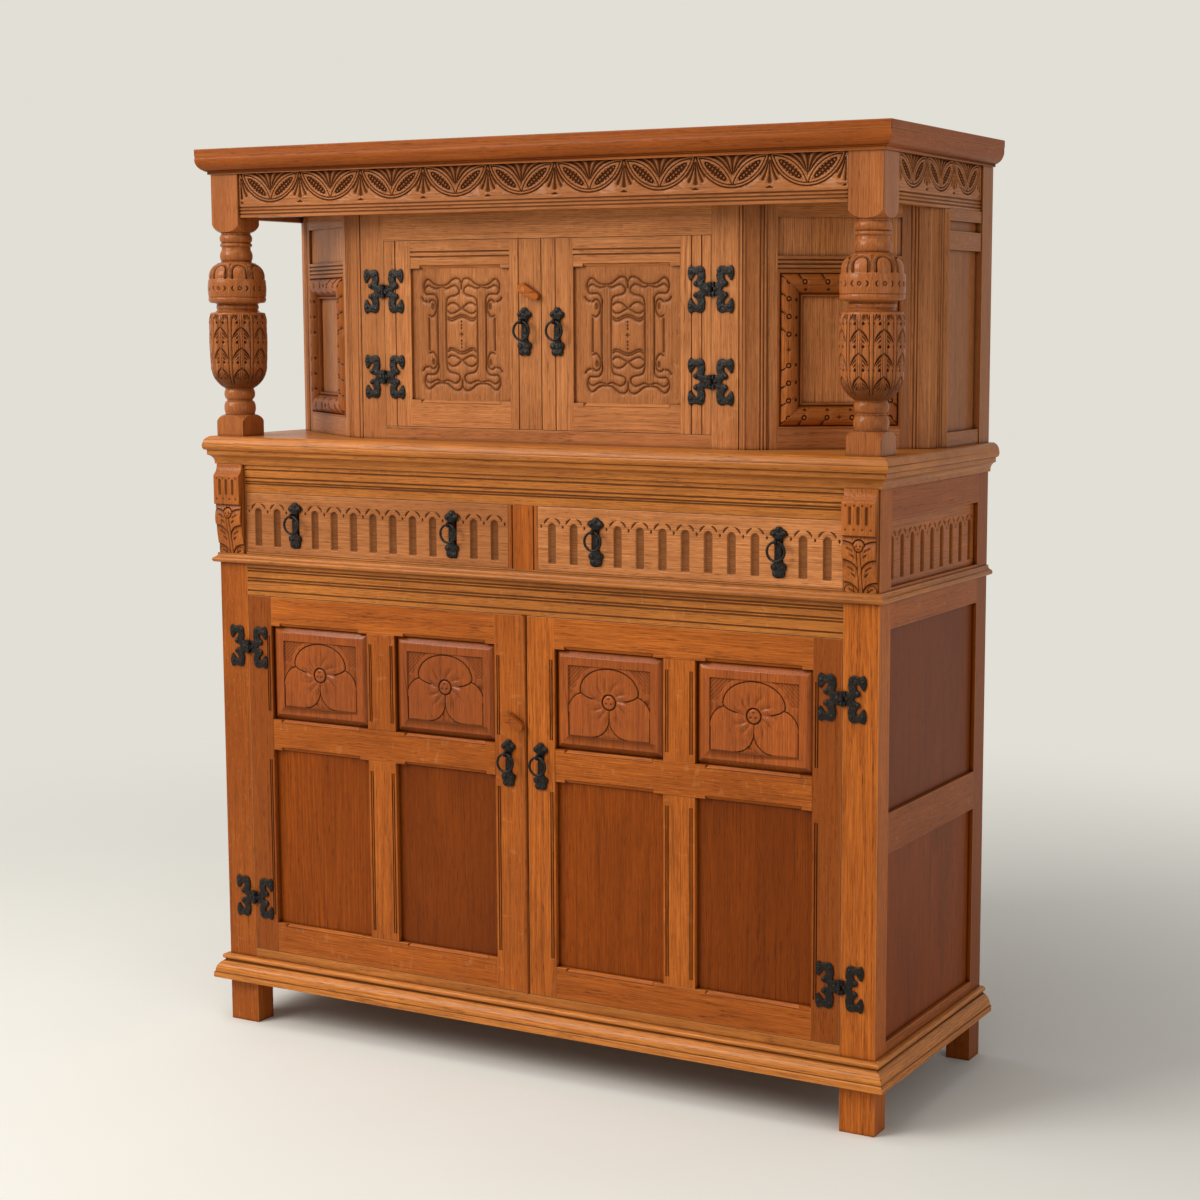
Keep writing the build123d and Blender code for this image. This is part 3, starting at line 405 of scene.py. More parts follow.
def grain_of(points, rng, upright=None):
    """Where in its tree a board was cut: a place for each point, with Z along the grain."""
    area = math.inf
    for angle in (0.0, CANT, -CANT):
        tried = turned_in_plan(points, -angle)
        x, y, _ = np.ptp(tried, axis=0)
        if x * y < area - 1e-7:
            area, lying = x * y, tried
    size = np.ptp(lying, axis=0)
    lying = lying - sum(corners_of(lying)) / 2
    along = 2 if upright else int(np.argmax(size))
    across = [i for i in range(3) if i != along]
    thin = min(across, key=lambda i: size[i])
    wide = max((i for i in across if i != thin), key=lambda i: size[i])
    tree = np.stack([lying[:, wide], lying[:, thin], lying[:, along]], 1)
    if rng.random() < QUARTERED:
        heart = (0.16 + 0.1 * rng.random(), 0.02 * rng.random())
    else:
        heart = (0.06 * (rng.random() - 0.5), 0.06 + 0.08 * rng.random())
    return tree + np.array([heart[0], heart[1], 40 * rng.random()])


def bmesh_of(points, triangles):
    work = bmesh.new()
    corners = [work.verts.new(point) for point in points]
    for a, b, c in triangles.tolist():
        if a != b and b != c and c != a:
            try:
                work.faces.new((corners[a], corners[b], corners[c]))
            except ValueError:
                pass
    return work


def ease_edges(solid, width):
    """A solid as a bmesh with its flat faces joined and its edges rounded.

    Its faces carry a mark: 1 on a rounded edge, which is painted paler for wear and as sheen;
    -1 in a groove, which is painted darker for wax and as shade."""
    work = bmesh_of(*solid)
    bmesh.ops.dissolve_limit(work, angle_limit=FLAT, verts=work.verts, edges=work.edges)
    work.normal_update()
    sharp = []
    for edge in work.edges:
        if len(edge.link_faces) != 2 or edge.calc_length() < SHORT_EDGE:
            continue
        if edge.calc_face_angle() < CREASE:
            continue
        wide = min(face.calc_area() / edge.calc_length() for face in edge.link_faces)
        if wide > LEAST_FACE:
            sharp.append(edge)
    wear_wax_and_light = work.faces.layers.float.new("wear_wax_and_light")
    if sharp and width > 0:
        rounded = bmesh.ops.bevel(work, geom=sharp, offset=width, offset_type="OFFSET",
                                  segments=2, profile=0.5, affect="EDGES", clamp_overlap=True)
        # rounded edges: paler for wear and as painted sheen
        for face in rounded["faces"]:
            face[wear_wax_and_light] = 1.0
    # grooves: darker for wax and as painted shade
    for face in work.faces:
        longest = max(edge.calc_length() for edge in face.edges)
        if face.calc_area() < GROOVE_FACE * longest and any(
                len(edge.link_faces) == 2 and edge.calc_face_angle_signed() < -HOLLOW
                for edge in face.edges):
            face[wear_wax_and_light] = -1.0
    return work


def sawn(solid, height, above):
    """What is left of a solid above, or below, a height, closed where it was sawn."""
    work = bmesh_of(*solid)
    geometry = work.verts[:] + work.edges[:] + work.faces[:]
    bmesh.ops.bisect_plane(work, geom=geometry, plane_co=(0, 0, height), plane_no=(0, 0, 1),
                           clear_outer=not above, clear_inner=above)
    rim = [edge for edge in work.edges if len(edge.link_faces) == 1]
    bmesh.ops.holes_fill(work, edges=rim)
    bmesh.ops.triangulate(work, faces=work.faces[:])
    points, triangles = arrays_of(work)
    return points, np.array(triangles)


def dress(node, material, slot="oak", upright=None, tone=None, keep=None):
    """A node as separate boards with eased edges."""
    rng = np.random.default_rng(sum(map(ord, node)) * 7)
    parts = Parts()
    for solid in solids_of(node):
        if keep and not keep(np.ptp(solid[0], axis=0)):
            continue
        shade = rng.random() if tone is None else tone + TONE_SPREAD * (rng.random() - 0.5)
        reach, drop = OUTER.get(node, (9.0, 0.0))
        if abs(solid[0][:, 0].mean()) > reach:
            shade -= drop
        parts.add_eased(solid, ARRIS, rng, shade, upright)
    parts.piece(node + "_boards", node, material, slot, even=True)


# ---- carved boards ----
# A cut takes places on a face, across and up in millimetres, and gives how far the surface
# stands out of it (less than nothing where wood is taken away) and how dark it is painted
# there, for wax and for shade.

SOFT_RIM = 0.5                      # how wide the rounding at a board's rim is
RIM_DROP = 0.4                      # and how deep
FAR = 99.0                          # further than any place on a board


def ease(values, low, high):
    """0 below low, 1 above high and smooth between them."""
    share = np.clip((values - low) / (high - low), 0.0, 1.0)
    return share * share * (3 - 2 * share)


def among(values, low, full, fade, high):
    """1 from full to fade, and smooth down to 0 at low and at high."""
    return ease(values, low, full) * (1 - ease(values, fade, high))


def gouge(distance, half, deep):
    """A round-bottomed cut of a half width along a line, at distances from that line."""
    return -deep * np.sqrt(np.clip(1 - (distance / half) ** 2, 0.0, 1.0))


def vee(distance, half, deep):
    return -deep * np.clip(1 - np.abs(distance) / half, 0.0, 1.0)


def leg(radius, side):
    """The other side of a right-angled triangle, or nothing where there is none."""
    return np.sqrt(np.maximum(radius ** 2 - side ** 2, 0.0))


def wax_and_shade_of(height, start=0.5, full=2.6):
    """Darker where the cut is deep: wax that gathers there, and painted shade."""
    return np.clip((-height - start) / (full - start), 0.0, 1.0)


def deepest(*surfaces):
    """The lowest of several surfaces at each place."""
    return functools.reduce(np.minimum, surfaces)


def folded(across, pitch):
    """A place across, measured from the middle of the nearest repeat."""
    return (across + pitch / 2) % pitch - pitch / 2


def thinned(points, faces, keep):
    """A mesh with fewer faces where it is nearly flat."""
    def fewer(holder):
        holder.modifiers.new("fewer", "DECIMATE").ratio = keep
    mesh = bpy.data.meshes.new("thinning")
    mesh.from_pydata(points.tolist(), [], faces)
    made = worked_out(mesh, fewer)
    points = read(made.vertices, "co", 3)
    faces = [list(polygon.vertices) for polygon in made.polygons]
    for used in (mesh, made):
        bpy.data.meshes.remove(used)
    return points, faces


def grid_faces(rows, columns, ring=False, tube=False):
    """The quads of a grid of points. A ring is closed round its columns, and a tube round
    its rows."""
    index = np.arange(rows * columns).reshape(rows, columns)
    if tube:
        index = np.concatenate([index, index[:1]], 0)
    if ring:
        index = np.concatenate([index, index[:, :1]], 1)
    quads = np.stack([index[:-1, :-1], index[:-1, 1:], index[1:, 1:], index[1:, :-1]], -1)
    return quads.reshape(-1, 4).tolist()


def carved_board(size, cut, step=1.0, thick=20.0, keep=0.5, mitre=0.0):
    """A board with a carved face: X across from its middle, Z up from its foot, Y into it.

    Everything is in millimetres. A mitred board narrows upwards at both ends. Gives points,
    faces and the wax and painted shade on each point."""
    wide, tall = size
    rows, columns = max(2, round(tall / step) + 1), max(2, round(wide / step) + 1)
    share, up = np.meshgrid(np.linspace(-1, 1, columns), np.linspace(0, tall, rows))
    half = wide / 2 - mitre * up
    across = share * half
    height, _ = cut(across, up)
    rim = np.minimum(half - np.abs(across), np.minimum(up, tall - up))
    height = height - RIM_DROP * np.clip(1 - rim / SOFT_RIM, 0, 1)
    front = np.stack([across.ravel(), -height.ravel(), up.ravel()], 1)
    back = [[x * (wide / 2 - mitre * z), thick, z] for z in (0, tall) for x in (-1, 1)]
    index = np.arange(columns * rows).reshape(rows, columns)
    faces = grid_faces(rows, columns)
    b = columns * rows
    for first, second, rim in ((0, 1, index[0, ::-1]), (3, 2, index[-1]), (2, 0, index[:, 0]),
                               (1, 3, index[::-1, -1])):
        faces.append([b + first, b + second] + rim.tolist())
    faces.append([b, b + 2, b + 3, b + 1])
    points = np.concatenate([front, back])
    if keep < 1:
        points, faces = thinned(points, faces, keep)
    _, wax_and_shade = cut(points[:, 0], points[:, 2])
    wax_and_shade = np.where(points[:, 1] > thick - 0.01, 0.0, wax_and_shade)
    return points, faces, wax_and_shade


def carved_piece(name, node, boards, material, smooth=45):
    """One piece from carved boards. Each is (board, place, grain, tone): place puts its
    points where they belong, and grain gives their place in the tree."""
    parts = Parts()
    for (local, faces, wax_and_shade), place, grain, tone in boards:
        moved, turned_over = place(local * MM)
        parts.add(moved, faces, grain(local * MM), tone, wax_and_shade, turned_over=turned_over)
    return parts.piece(name, node, material, "carved_oak", smooth)


def cut_from(heart, lengthwise, start=0.0):
    """The grain of a carved board: lengthwise is the axis, 0 or 2, that the grain follows."""
    def grain(local):
        across = local[:, 2] if lengthwise == 0 else local[:, 0]
        return np.stack([across + heart[0], local[:, 1] + heart[1],
                         local[:, lengthwise] + start], 1)
    return grain


def facing_front(x, y, z):
    """Puts a board's face on the front plane y, its foot's middle at x and z."""
    return lambda local: (local + np.array([x, y, z]), False)


def facing_side(x, y, z, side):
    """Puts a board's face on the plane x of the right (1) or left (-1) side."""
    def place(local):
        moved = np.stack([x - local[:, 1], y + local[:, 0], z + local[:, 2]], 1)
        moved[:, 0] *= side
        return moved, side < 0
    return place


def span(low, high):
    """How far apart two corners are, in millimetres."""
    return [(b - a) / MM for a, b in zip(low, high)]


def corners_of(points):
    """The lowest and the highest corner of the box round some points."""
    return points.min(0), points.max(0)


def front_board(low, high, cut, grain, tone, step=1.0, thick=20.0, keep=0.4, face=None):
    """A carved board between two corners, its face on the front or on the plane face."""
    wide, _, tall = span(low, high)
    board = carved_board((wide, tall), cut, step, thick, keep)
    place = facing_front((low[0] + high[0]) / 2, low[1] if face is None else face, low[2])
    return board, place, cut_from(*grain), tone


def side_boards(node, cut, heart, starts, tone, step=1.0, thick=20.0, keep=0.4):
    """A carved board on the right side and the same on the left."""
    low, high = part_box(node)
    _, wide, tall = span(low, high)
    board = carved_board((wide, tall), cut, step, thick, keep)
    return [(board, facing_side(high.x, (low.y + high.y) / 2, low.z, side),
             cut_from(heart, 0, start), tone) for side, start in zip((1, -1), starts)]


def section_of(along, out):
    """A profile from the corners of a solid: the furthest out at each place along."""
    places = np.unique(np.round(along, 5))
    return places, np.array([out[np.abs(along - place) < 0.02 * MM].max() for place in places])


# ---- frieze ----

LEAF_FOOT = 13.0                    # where the two leaves of a lunette meet
LEAF_TIP = 58.0
LEAF_GAP = 6.0                      # from the tip of a leaf to the joint with the next lunette
RIM = 3.2                           # the raised line round the leaves
RIM_GROOVE = 1.5
HEART = 5.4                         # from a leaf's edge to its beaded heart
MARGIN = 1.3                        # and to its plain border
BEAD = 6.4                          # the beads in the heart of a leaf, apart
BAND = 18.0                         # the reeded band under the lunettes
REED_LINES = (6.0, 12.0, BAND)


def lunettes(across, up, pitch):
    """Lunettes side by side: two pointed leaves with beaded hearts, fans above and between."""
    u = np.abs(folded(across, pitch))
    tip = pitch / 2 - LEAF_GAP
    middle = (tip ** 2 + LEAF_TIP ** 2 - LEAF_FOOT ** 2) / (2 * (LEAF_TIP - LEAF_FOOT))
    radius = middle - LEAF_FOOT
    second = LEAF_TIP + LEAF_FOOT - middle
    below = radius - np.hypot(u, up - middle)
    above = radius - np.hypot(u - tip, up - second)
    inside = np.minimum(below, above)

    chord = math.hypot(tip, LEAF_TIP - LEAF_FOOT)
    lean = (tip / chord, (LEAF_TIP - LEAF_FOOT) / chord)
    along = u * lean[0] + (up - LEAF_FOOT) * lean[1]
    aside = -u * lean[1] + (up - LEAF_FOOT) * lean[0]
    beads = np.abs(np.cos(math.pi * along / BEAD) * np.cos(math.pi * aside / BEAD))
    heart = -3.4 + 2.6 * np.clip(beads * 1.5 - 0.25, 0, 1) ** 0.7
    border = -0.4 - 0.5 * ((inside - 3.3) / 2.0) ** 2
    leaf = np.select([inside > HEART, inside > MARGIN], [heart, border],
                     gouge(inside - 0.5, MARGIN, 2.2))

    flare = tip - leg(radius + RIM, up - second)
    share = u / np.maximum(flare, 0.8)
    fan = -1.2 - 1.2 * np.cos(2 * math.pi * share / 0.40)
    start = 17 + 9 * np.minimum(share, 1)
    fan = -0.5 + fan * ease(up, start, start + 16)

    flare = pitch / 2 - leg(radius + RIM + RIM_GROOVE, middle - up)
    share = (pitch / 2 - u) / np.maximum(flare, 0.8)
    small = -1.2 - 1.3 * np.cos(2 * math.pi * share / 0.46)
    foot = 12.5 + 15 * np.minimum(share, 1) ** 1.5
    small = small * ease(up, foot, foot + 4) * ease(56 - up, 0, 8)
    notch = 8.0 - np.abs(pitch / 2 - u) - (up - 7.5) * 1.9
    notch = -2.2 * ease(notch, 0, 4) * ease(up, 6.6, 7.6)
    trench = gouge(np.hypot(u, up - middle) - radius - RIM - RIM_GROOVE / 2, RIM_GROOVE, 2.1)

    def ridge(outside):
        return 0.8 * np.sin(math.pi * np.clip(outside / RIM, 0, 1))
    return np.select([inside > 0, (below > 0) & (above > -RIM), below > 0, below > -RIM],
                     [leaf, ridge(-above) - 0.9, fan, ridge(-below) - 0.8],
                     np.minimum(trench, small + notch))


def frieze_cut(pitch, count):
    """The whole face of a frieze board: lunettes over a narrow reeded band."""
    def cut(across, up):
        shift = 0.0 if count % 2 else pitch / 2
        carved = (np.abs(across) < pitch * count / 2) & (up > BAND + 1)
        height = np.where(carved, lunettes(across + shift, up - BAND, pitch), 0.0)
        height = deepest(height, *(gouge(up - line, 1.5, 1.5) for line in REED_LINES))
        # Darker in the cuts: wax, and painted shade.
        return height, wax_and_shade_of(height, 0.4, 1.7)
    return cut


def friezes():
    board = front_board(*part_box("front_frieze"), frieze_cut(133.0, 9), ((0.02, 0.09), 0, 3.0),
                        0.1, 0.85, keep=0.45)
    carved_piece("frieze_carving", "front_frieze", [board], UPPER_OAK)
    boards = side_boards("side_friezes", frieze_cut(119.0, 3), (0.02, 0.07), (10.0, 8.0), 0.35,
                         0.9, keep=0.45)
    carved_piece("side_frieze_carving", "side_friezes", boards, UPPER_OAK)


# ---- flutes ----

FLUTE_PITCH = 42.9
FLUTE_HALF = 7.8
FLUTE_FOOT = 910.0
FLUTE_LONG = 69.0
FLUTE_DEEP = 4.0
CRESCENT = 16.6                     # from the middle of a flute's head to the chip cuts
CRESCENT_TURN = (12, 60)            # where they start, in degrees from upright, and how long


def flutes_cut(count, foot):
    """A row of round-headed flutes, each under two chip cuts, with a punch between them."""
    shoulder = FLUTE_LONG - FLUTE_HALF

    def cut(across, up):
        shift = 0.0 if count % 2 else FLUTE_PITCH / 2
        u, v = folded(across + shift, FLUTE_PITCH), up - foot
        from_head = np.hypot(u, v - shoulder)
        aside = np.where(v > shoulder, from_head, np.abs(u))
        bottom = -FLUTE_DEEP * np.sqrt(np.clip(1 - (aside / FLUTE_HALF) ** 3, 0, 1))
        height = bottom * ease(v, -2.6, 1.0)
        turn = np.degrees(np.arctan2(np.abs(u), v - shoulder))
        share = np.clip((turn - CRESCENT_TURN[0]) / CRESCENT_TURN[1], 0, 1)
        half = 2.7 * np.sin(math.pi * share ** 1.5) + 0.01
        chip = vee(from_head - CRESCENT, half, 3.2) * (share > 0) * (share < 1)
        gap = np.abs(FLUTE_PITCH / 2 - np.abs(u))
        punch = -2.6 * ease(2.6 - gap - np.abs(v - shoulder - 1.0) * 0.5, 0, 1.6)
        inside = np.abs(across) < FLUTE_PITCH * count / 2 + 2
        height = np.where(inside, deepest(height, chip, punch), 0.0)
        # The deep floor of each flute and the cuts are darker: wax, and painted shade.
        floor = 0.6 * (height < -FLUTE_DEEP * 0.5)
        return height, np.maximum(wax_and_shade_of(height, 0.6, 3.0) * 0.7, floor)
    return cut


def fluted_boards():
    for node, heart, tone in (("left_drawer_front", (0.01, 0.08), 0.2),
                              ("right_drawer_front", (0.17, 0.02), 0.95)):
        low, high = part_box(node)
        board = front_board(low, high, flutes_cut(13, FLUTE_FOOT - low.z / MM),
                            (heart, 0, tone), tone)
        carved_piece(node + "_flutes", node, [board], UPPER_OAK)
    low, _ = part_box("side_fluted_panels")
    boards = side_boards("side_fluted_panels", flutes_cut(9, FLUTE_FOOT - low.z / MM),
                         (0.03, 0.08), (5.0, -5.0), 0.4, thick=8.0)
    carved_piece("side_flutes", "side_fluted_panels", boards, CARVED_OAK)


# ---- lower door panels ----

PANEL_LINE = 27.0                   # the incised border, from the edge of the opening
BEVEL = 12.0
FIELD_RISE = 8.0
BOSS = 12.0
BOSS_UP = 2.0                       # the boss's middle, over the panel's
SEED = 5.6                          # from the boss's middle to each of its three seeds
LIP = 5.0                           # how far the frame covers a panel's edge
CAP_WIDE = 57.0                     # the upper petal: half its width, and how far it hangs
CAP_LOW = 17.5
CAP_MIDDLE = 20.0
LOW_ARC = (46, -20, 36)             # the lower petals' outer arcs: across, up and radius
LOW_LOBE = (34.5, -26, 34.5)        # and the lobes where they meet
HATCH = 7.5                         # the gouge marks in the upper corners, apart
VEINS = 11                          # in the petals, round the boss


def oval(u, v, centre, radii):
    """Roughly how far outside an oval each place is."""
    x, y = (u - centre[0]) / radii[0], (v - centre[1]) / radii[1]
    q = np.hypot(x, y) + 1e-6
    slope = np.hypot(x / radii[0], y / radii[1]) / q
    return (q - 1) / np.maximum(slope, 1e-6)


def petals_cut(width, tall):
    """A raised field with three petals round a boss, inside an incised border."""
    half_w, half_h = width / 2, tall / 2
    line_w, line_h = half_w - PANEL_LINE, half_h - PANEL_LINE

    def cut(across, up):
        u, v = np.abs(across), up
        edge = np.minimum(half_w - u, half_h - np.abs(v))
        field = FIELD_RISE * np.clip(edge / BEVEL, 0, 1)
        inner = np.minimum(line_w - u, line_h - np.abs(v))
        border = vee(inner, 1.1, 1.5)

        cap = oval(u, v, (0, CAP_MIDDLE),
                   (CAP_WIDE, np.where(v > CAP_MIDDLE, line_h - CAP_MIDDLE - 1, CAP_LOW)))
        arc, lobe = (np.hypot(u - x, v - z) - radius for x, z, radius in (LOW_ARC, LOW_LOBE))
        under, near = v < LOW_ARC[1], u < 34
        low = np.select([near & under, under], [lobe, np.maximum(u - line_w, -10.0)], arc)
        low = np.where(near & (v > LOW_LOBE[1]) & (v <= 9), np.minimum(low, -4.0), low)
        over = v > 9 - 0.12 * u
        in_cap = (cap < 0) & (over | (low > 0))
        in_low = (low < 0) & ~in_cap & (v > -line_h)
        inside = inner > 0
        ground = inside & ~in_cap & ~in_low
        zigzag = np.abs(((u + v) / HATCH) % 1 - 0.5)
        carving = np.select(
            [ground & (cap >= 9.0) & (v > 22), ground & (cap > 0) & (cap < 7.5) & (v > 14),
             ground, inside & in_low, inside & in_cap],
            [-2.8 + 1.8 * zigzag, -0.7 - 0.5 * ((cap - 4) / 4) ** 2, np.full_like(u, -1.9),
             -1.0 + 1.0 * np.tanh(-low / 8), -0.9 + 1.1 * np.tanh(-cap / 9)], border)
        lines = np.minimum(vee(cap, 1.7, 2.9) * over, vee(low, 1.7, 2.9) * (v < 17) * ~in_cap)
        split = vee(u, 1.2, 2.0) * (v < -10) * (v > -27)
        carving = deepest(carving, (lines + split) * inside, border)

        far = np.hypot(u, v - BOSS_UP)
        boss = -1.4 + 2.8 * np.sqrt(np.clip(1 - (far / BOSS) ** 2, 0, 1))
        for turn in np.radians((90, 210, 330)):
            spot = np.hypot(across - SEED * math.cos(turn), v - BOSS_UP - SEED * math.sin(turn))
            boss = boss + gouge(spot, 2.6, 2.2)
        moat = vee(far - BOSS - 1.0, 1.9, 3.0)
        carving = np.where(far < BOSS, boss, np.minimum(carving, moat))
        turn = np.arctan2(v - BOSS_UP, across)
        vein = np.sin(turn * VEINS + 0.12 * far + 0.8 * np.sin(turn * 3))
        vein = vein * np.exp(-((far - 27) / 15) ** 2) * (inside & (in_cap | in_low))
        carving = carving + 0.8 * vein * (far > BOSS + 3)
        # The lower bevel is darker: painted shade. The cuts, lines and vein hollows are darker:
        # wax, and painted shade.
        shaded_low_bevel = (half_h + v < BEVEL) & (half_h + v < half_w - u)
        wax_and_shade = (wax_and_shade_of(carving, 1.6, 3.4) * 0.8 + 0.8 * (lines < -0.9) * (far > BOSS)
                 + 0.85 * (np.abs(far - BOSS - 1.0) < 1.5) + 0.5 * (np.abs(inner) < 0.8)
                 + 0.4 * ease(-vein, 0.2, 1.0) + 0.5 * shaded_low_bevel)
        return field + carving, np.clip(wax_and_shade, 0, 1)
    return cut


# ---- upper door panels ----

# A quarter of the carving, across and up from the middle: cuts along smooth curves through
# these places. First the ribbon's edges, then the scrolls, then the ties between the straps.
RIBBONS = (
    ((0, 83), (4, 90), (12, 91.6), (20, 88), (28, 82), (36, 80), (46, 80), (55, 83), (61, 88),
     (67, 90), (72, 86), (74.5, 79), (73.6, 71)),
    ((73.6, 71), (71, 77), (64, 80), (57, 77), (50, 75), (41, 77)),
    ((38, 78), (30, 75), (21, 78), (13, 80), (6, 75.5), (4.6, 69), (9, 65), (17, 63), (25, 61),
     (29.4, 55), (30.5, 44), (30.6, 22), (30.6, -1)),
    ((73.6, 71), (69.5, 66), (62, 66), (54, 65.5), (49, 61), (47, 54), (47.5, 43), (47.8, 22),
     (47.8, -1)),
    ((64, 53), (59, 56.5), (53, 54), (50, 47), (50.6, 38.5), (54, 32), (59, 29), (64, 31)),
    ((78, 60), (74, 55), (68, 53.5)),
    ((64.4, 26), (64.4, -1)),
    ((28, 47), (22.5, 51), (15, 51.6), (8, 48.6), (3, 44), (0, 42.4)),
    ((28, 38.5), (22, 34.6), (14, 35.5), (7, 39), (0, 42.4)),
    ((28, 28.5), (22, 25.6), (14.7, 27), (7.6, 30.5), (0, 32)),
    ((27, 24.6), (21, 22.3), (13.8, 24), (7, 27.3), (0, 28.8)),
    ((0, 83), (0, 74)))
STRAP = 39.2                        # the middle of a strap, across, and how wide its reeds are
REED = 5.6
STRETCH = 1.07                      # how much larger the carving is than these places
DIAMOND = 6.5


def away_from(u, v, places, steps=4):
    """How far each place is from a smooth curve through given places."""
    given = np.array(places, float)
    ends = np.concatenate([[2 * given[0] - given[1]], given, [2 * given[-1] - given[-2]]])
    path = []
    for a, b, c, d in zip(ends, ends[1:], ends[2:], ends[3:]):
        for t in np.arange(steps) / steps:
            path.append(b + 0.5 * ((c - a) * t + (2 * a - 5 * b + 4 * c - d) * t ** 2
                                   + (3 * b - a - 3 * c + d) * t ** 3))
    path.append(given[-1])
    nearest = np.full(np.shape(u), FAR)
    for (x, y), (far_x, far_y) in zip(path, path[1:]):
        run_x, run_y = far_x - x, far_y - y
        share = ((u - x) * run_x + (v - y) * run_y) / (run_x ** 2 + run_y ** 2)
        share = np.clip(share, 0, 1)
        nearest = np.minimum(nearest, np.hypot(u - x - share * run_x, v - y - share * run_y))
    return nearest


def parchment_cut(across, up):
    """Ribbons that curl at both ends of upright straps, round a panel with one diamond."""
    u, v = np.abs(across) / STRETCH, np.abs(up) / STRETCH
    line = deepest(*(away_from(u, v, places) for places in RIBBONS))
    cut = -2.3 * np.exp(-(line / 1.3) ** 2)
    strap = np.abs(u - STRAP)
    reeds = (0.5 - 0.5 * np.cos(2 * math.pi * strap / REED)) * (strap < 8) * ease(75 - v, 0, 3)
    eye = ease(1 - np.hypot((u - 56.4) / 3.9, (v - 45.5) / 7.5), 0, 0.5)
    star = ease(1 - (u / DIAMOND) ** 0.75 - (v / DIAMOND) ** 0.75, 0, 0.6)
    chips = (u < 1.5) & (v > 8.5) & (v < 25) & ((v - 8.5) % 5.5 < 3.4)
    cut = deepest(cut, -2.4 * np.maximum(eye, star), -1.7 * chips)
    ripple = 0.10 * np.sin(across * 0.8 + 1.7 * np.sin(up * 0.21)) * np.sin(up * 0.31)
    height = cut - 1.0 * np.exp(-(line / 4.5) ** 2) - 0.8 * reeds + ripple
    # Darker in the cuts, the reeds and beside the ribbons: wax, and painted shade.
    shade = 0.28 * np.exp(-(line / 3.6) ** 2)
    return height, np.maximum(wax_and_shade_of(cut, 0.5, 2.3) * 0.65, np.maximum(0.3 * reeds, shade))


def centred(cut, low, high):
    """A cut that counts up from the middle of a board instead of its foot."""
    middle = span(low, high)[2] / 2
    return lambda across, up: cut(across, up - middle)


def carved_panels():
    for side, word in ((-1, "left"), (1, "right")):
        node = f"lower_{word}_door_panels"
        boards = []
        for points, _ in solids_of(node):
            low, high = corners_of(points)
            if high[2] - low[2] > TALL_PANEL:
                continue
            wide, _, tall = span(low, high)
            cut = centred(petals_cut(wide - 2 * LIP, tall - 2 * LIP), low, high)
            heart = (0.2, 0.01) if low[0] > 0 else (0.02, 0.07)
            boards.append(front_board(low, high, cut, (heart, 2, low[0] * 9),
                                      0.4 + 0.2 * side, 0.9, 6.0,
                                      face=low[1] + FIELD_RISE * MM))
        carved_piece(f"lower_{word}_petal_panels", node, boards, PETAL_OAK, smooth=28)
        node = f"upper_{word}_door_panel"
        low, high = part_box(node)
        board = front_board(low, high, centred(parchment_cut, low, high),
                            ((0.18, 0.03), 2, side * 3.0), 0.2, 0.85, 10.0, 0.5)
        carved_piece(f"upper_{word}_parchment_panel", node, [board], UPPER_OAK)


# ---- corbels ----

CORBEL_STEP = 92.0                  # where the fluted block starts, over the leaf
BLOCK_MIDDLE = 123.0
LEAF_PAIRS = ((-4.0, 21.0), (32.0, 21.0), (66.0, 17.0))     # foot and rise of each pair
LEAF_VEINS = ((9.5, 8.0, 25.0), (17.0, 6.0, 18.0))          # under the edge, from and to
STEM = 3.2                          # half the width of the stem
BUD = 75.0                          # how far up the middle of the bud is
BUD_WIDE = 9.6
CORBEL_FLUTES = (0.0, 14.5)
CORBEL_DRILLS = ((7.2, 101.0), (7.2, 139.0), (21.8, 101.0), (21.8, 139.0))


def corbel_cut(profile):
    """A fluted block over a bud and three pairs of leaves on a stem."""
    def cut(across, up):
        u, v = np.abs(across), up
        end = np.maximum(np.abs(v - BLOCK_MIDDLE) - 12.2, 0)
        block = deepest(
            *(gouge(np.hypot(u - place, end), 2.8, 2.6) for place in CORBEL_FLUTES),
            *(gouge(np.hypot(u - x, v - z), 1.9, 1.8) for x, z in CORBEL_DRILLS))

        relief, lines = -0.4, []
        for foot, rise in LEAF_PAIRS:
            under = foot + rise * np.sqrt(np.clip(1 - ((29 - u) / 26.5) ** 2, 0, 1)) - v
            relief = relief - 1.7 * np.exp(-np.clip(under, 0, FAR) / 6.0) * (under > 0)
            lines.append(vee(under, 1.7, 2.8))
            lines += [gouge(under - drop - 0.1 * (29 - u), 2.6, 1.8)
                      * among(u, start, start + 3, end - 6, end)
                      for drop, start, end in LEAF_VEINS]
        relief = np.where(u < STEM, -0.2 - 0.05 * u ** 2, deepest(relief, *lines))
        relief = np.minimum(relief, vee(np.abs(u - STEM), 1.0, 1.8) * (v < 66))
        bud = np.where(v < BUD, np.hypot(u * 1.25, (v - BUD) * 1.1), np.hypot(u, v - BUD))
        seeds = deepest(*(gouge(np.hypot(u - x, v - BUD + z), 1.5, 1.6)
                          for x, z in ((3.2, 0.0), (0.0, 4.5))))
        relief = np.where(bud < BUD_WIDE, 0.6 - 1.4 * (bud / BUD_WIDE) ** 2 + seeds, relief)
        relief = deepest(relief, vee(bud - 10.2, 1.6, 2.8) + 9 * (bud < 9.2),
                         vee(np.hypot(u - 20, v - 4) - 8, 1.4, 2.2) * (v < 14))
        carving = np.where(v < CORBEL_STEP - 1, relief * 1.5, block)
        # Darker in the cuts (wax, and painted shade) and just under the block (painted shadow).
        wax_and_shade = np.maximum(wax_and_shade_of(carving, 1.0, 3.2) * 0.95,
                           0.5 * ease(v, 84, 90) * (v < CORBEL_STEP))
        return np.maximum(np.interp(up, *profile) + carving, 0.6), wax_and_shade
    return cut


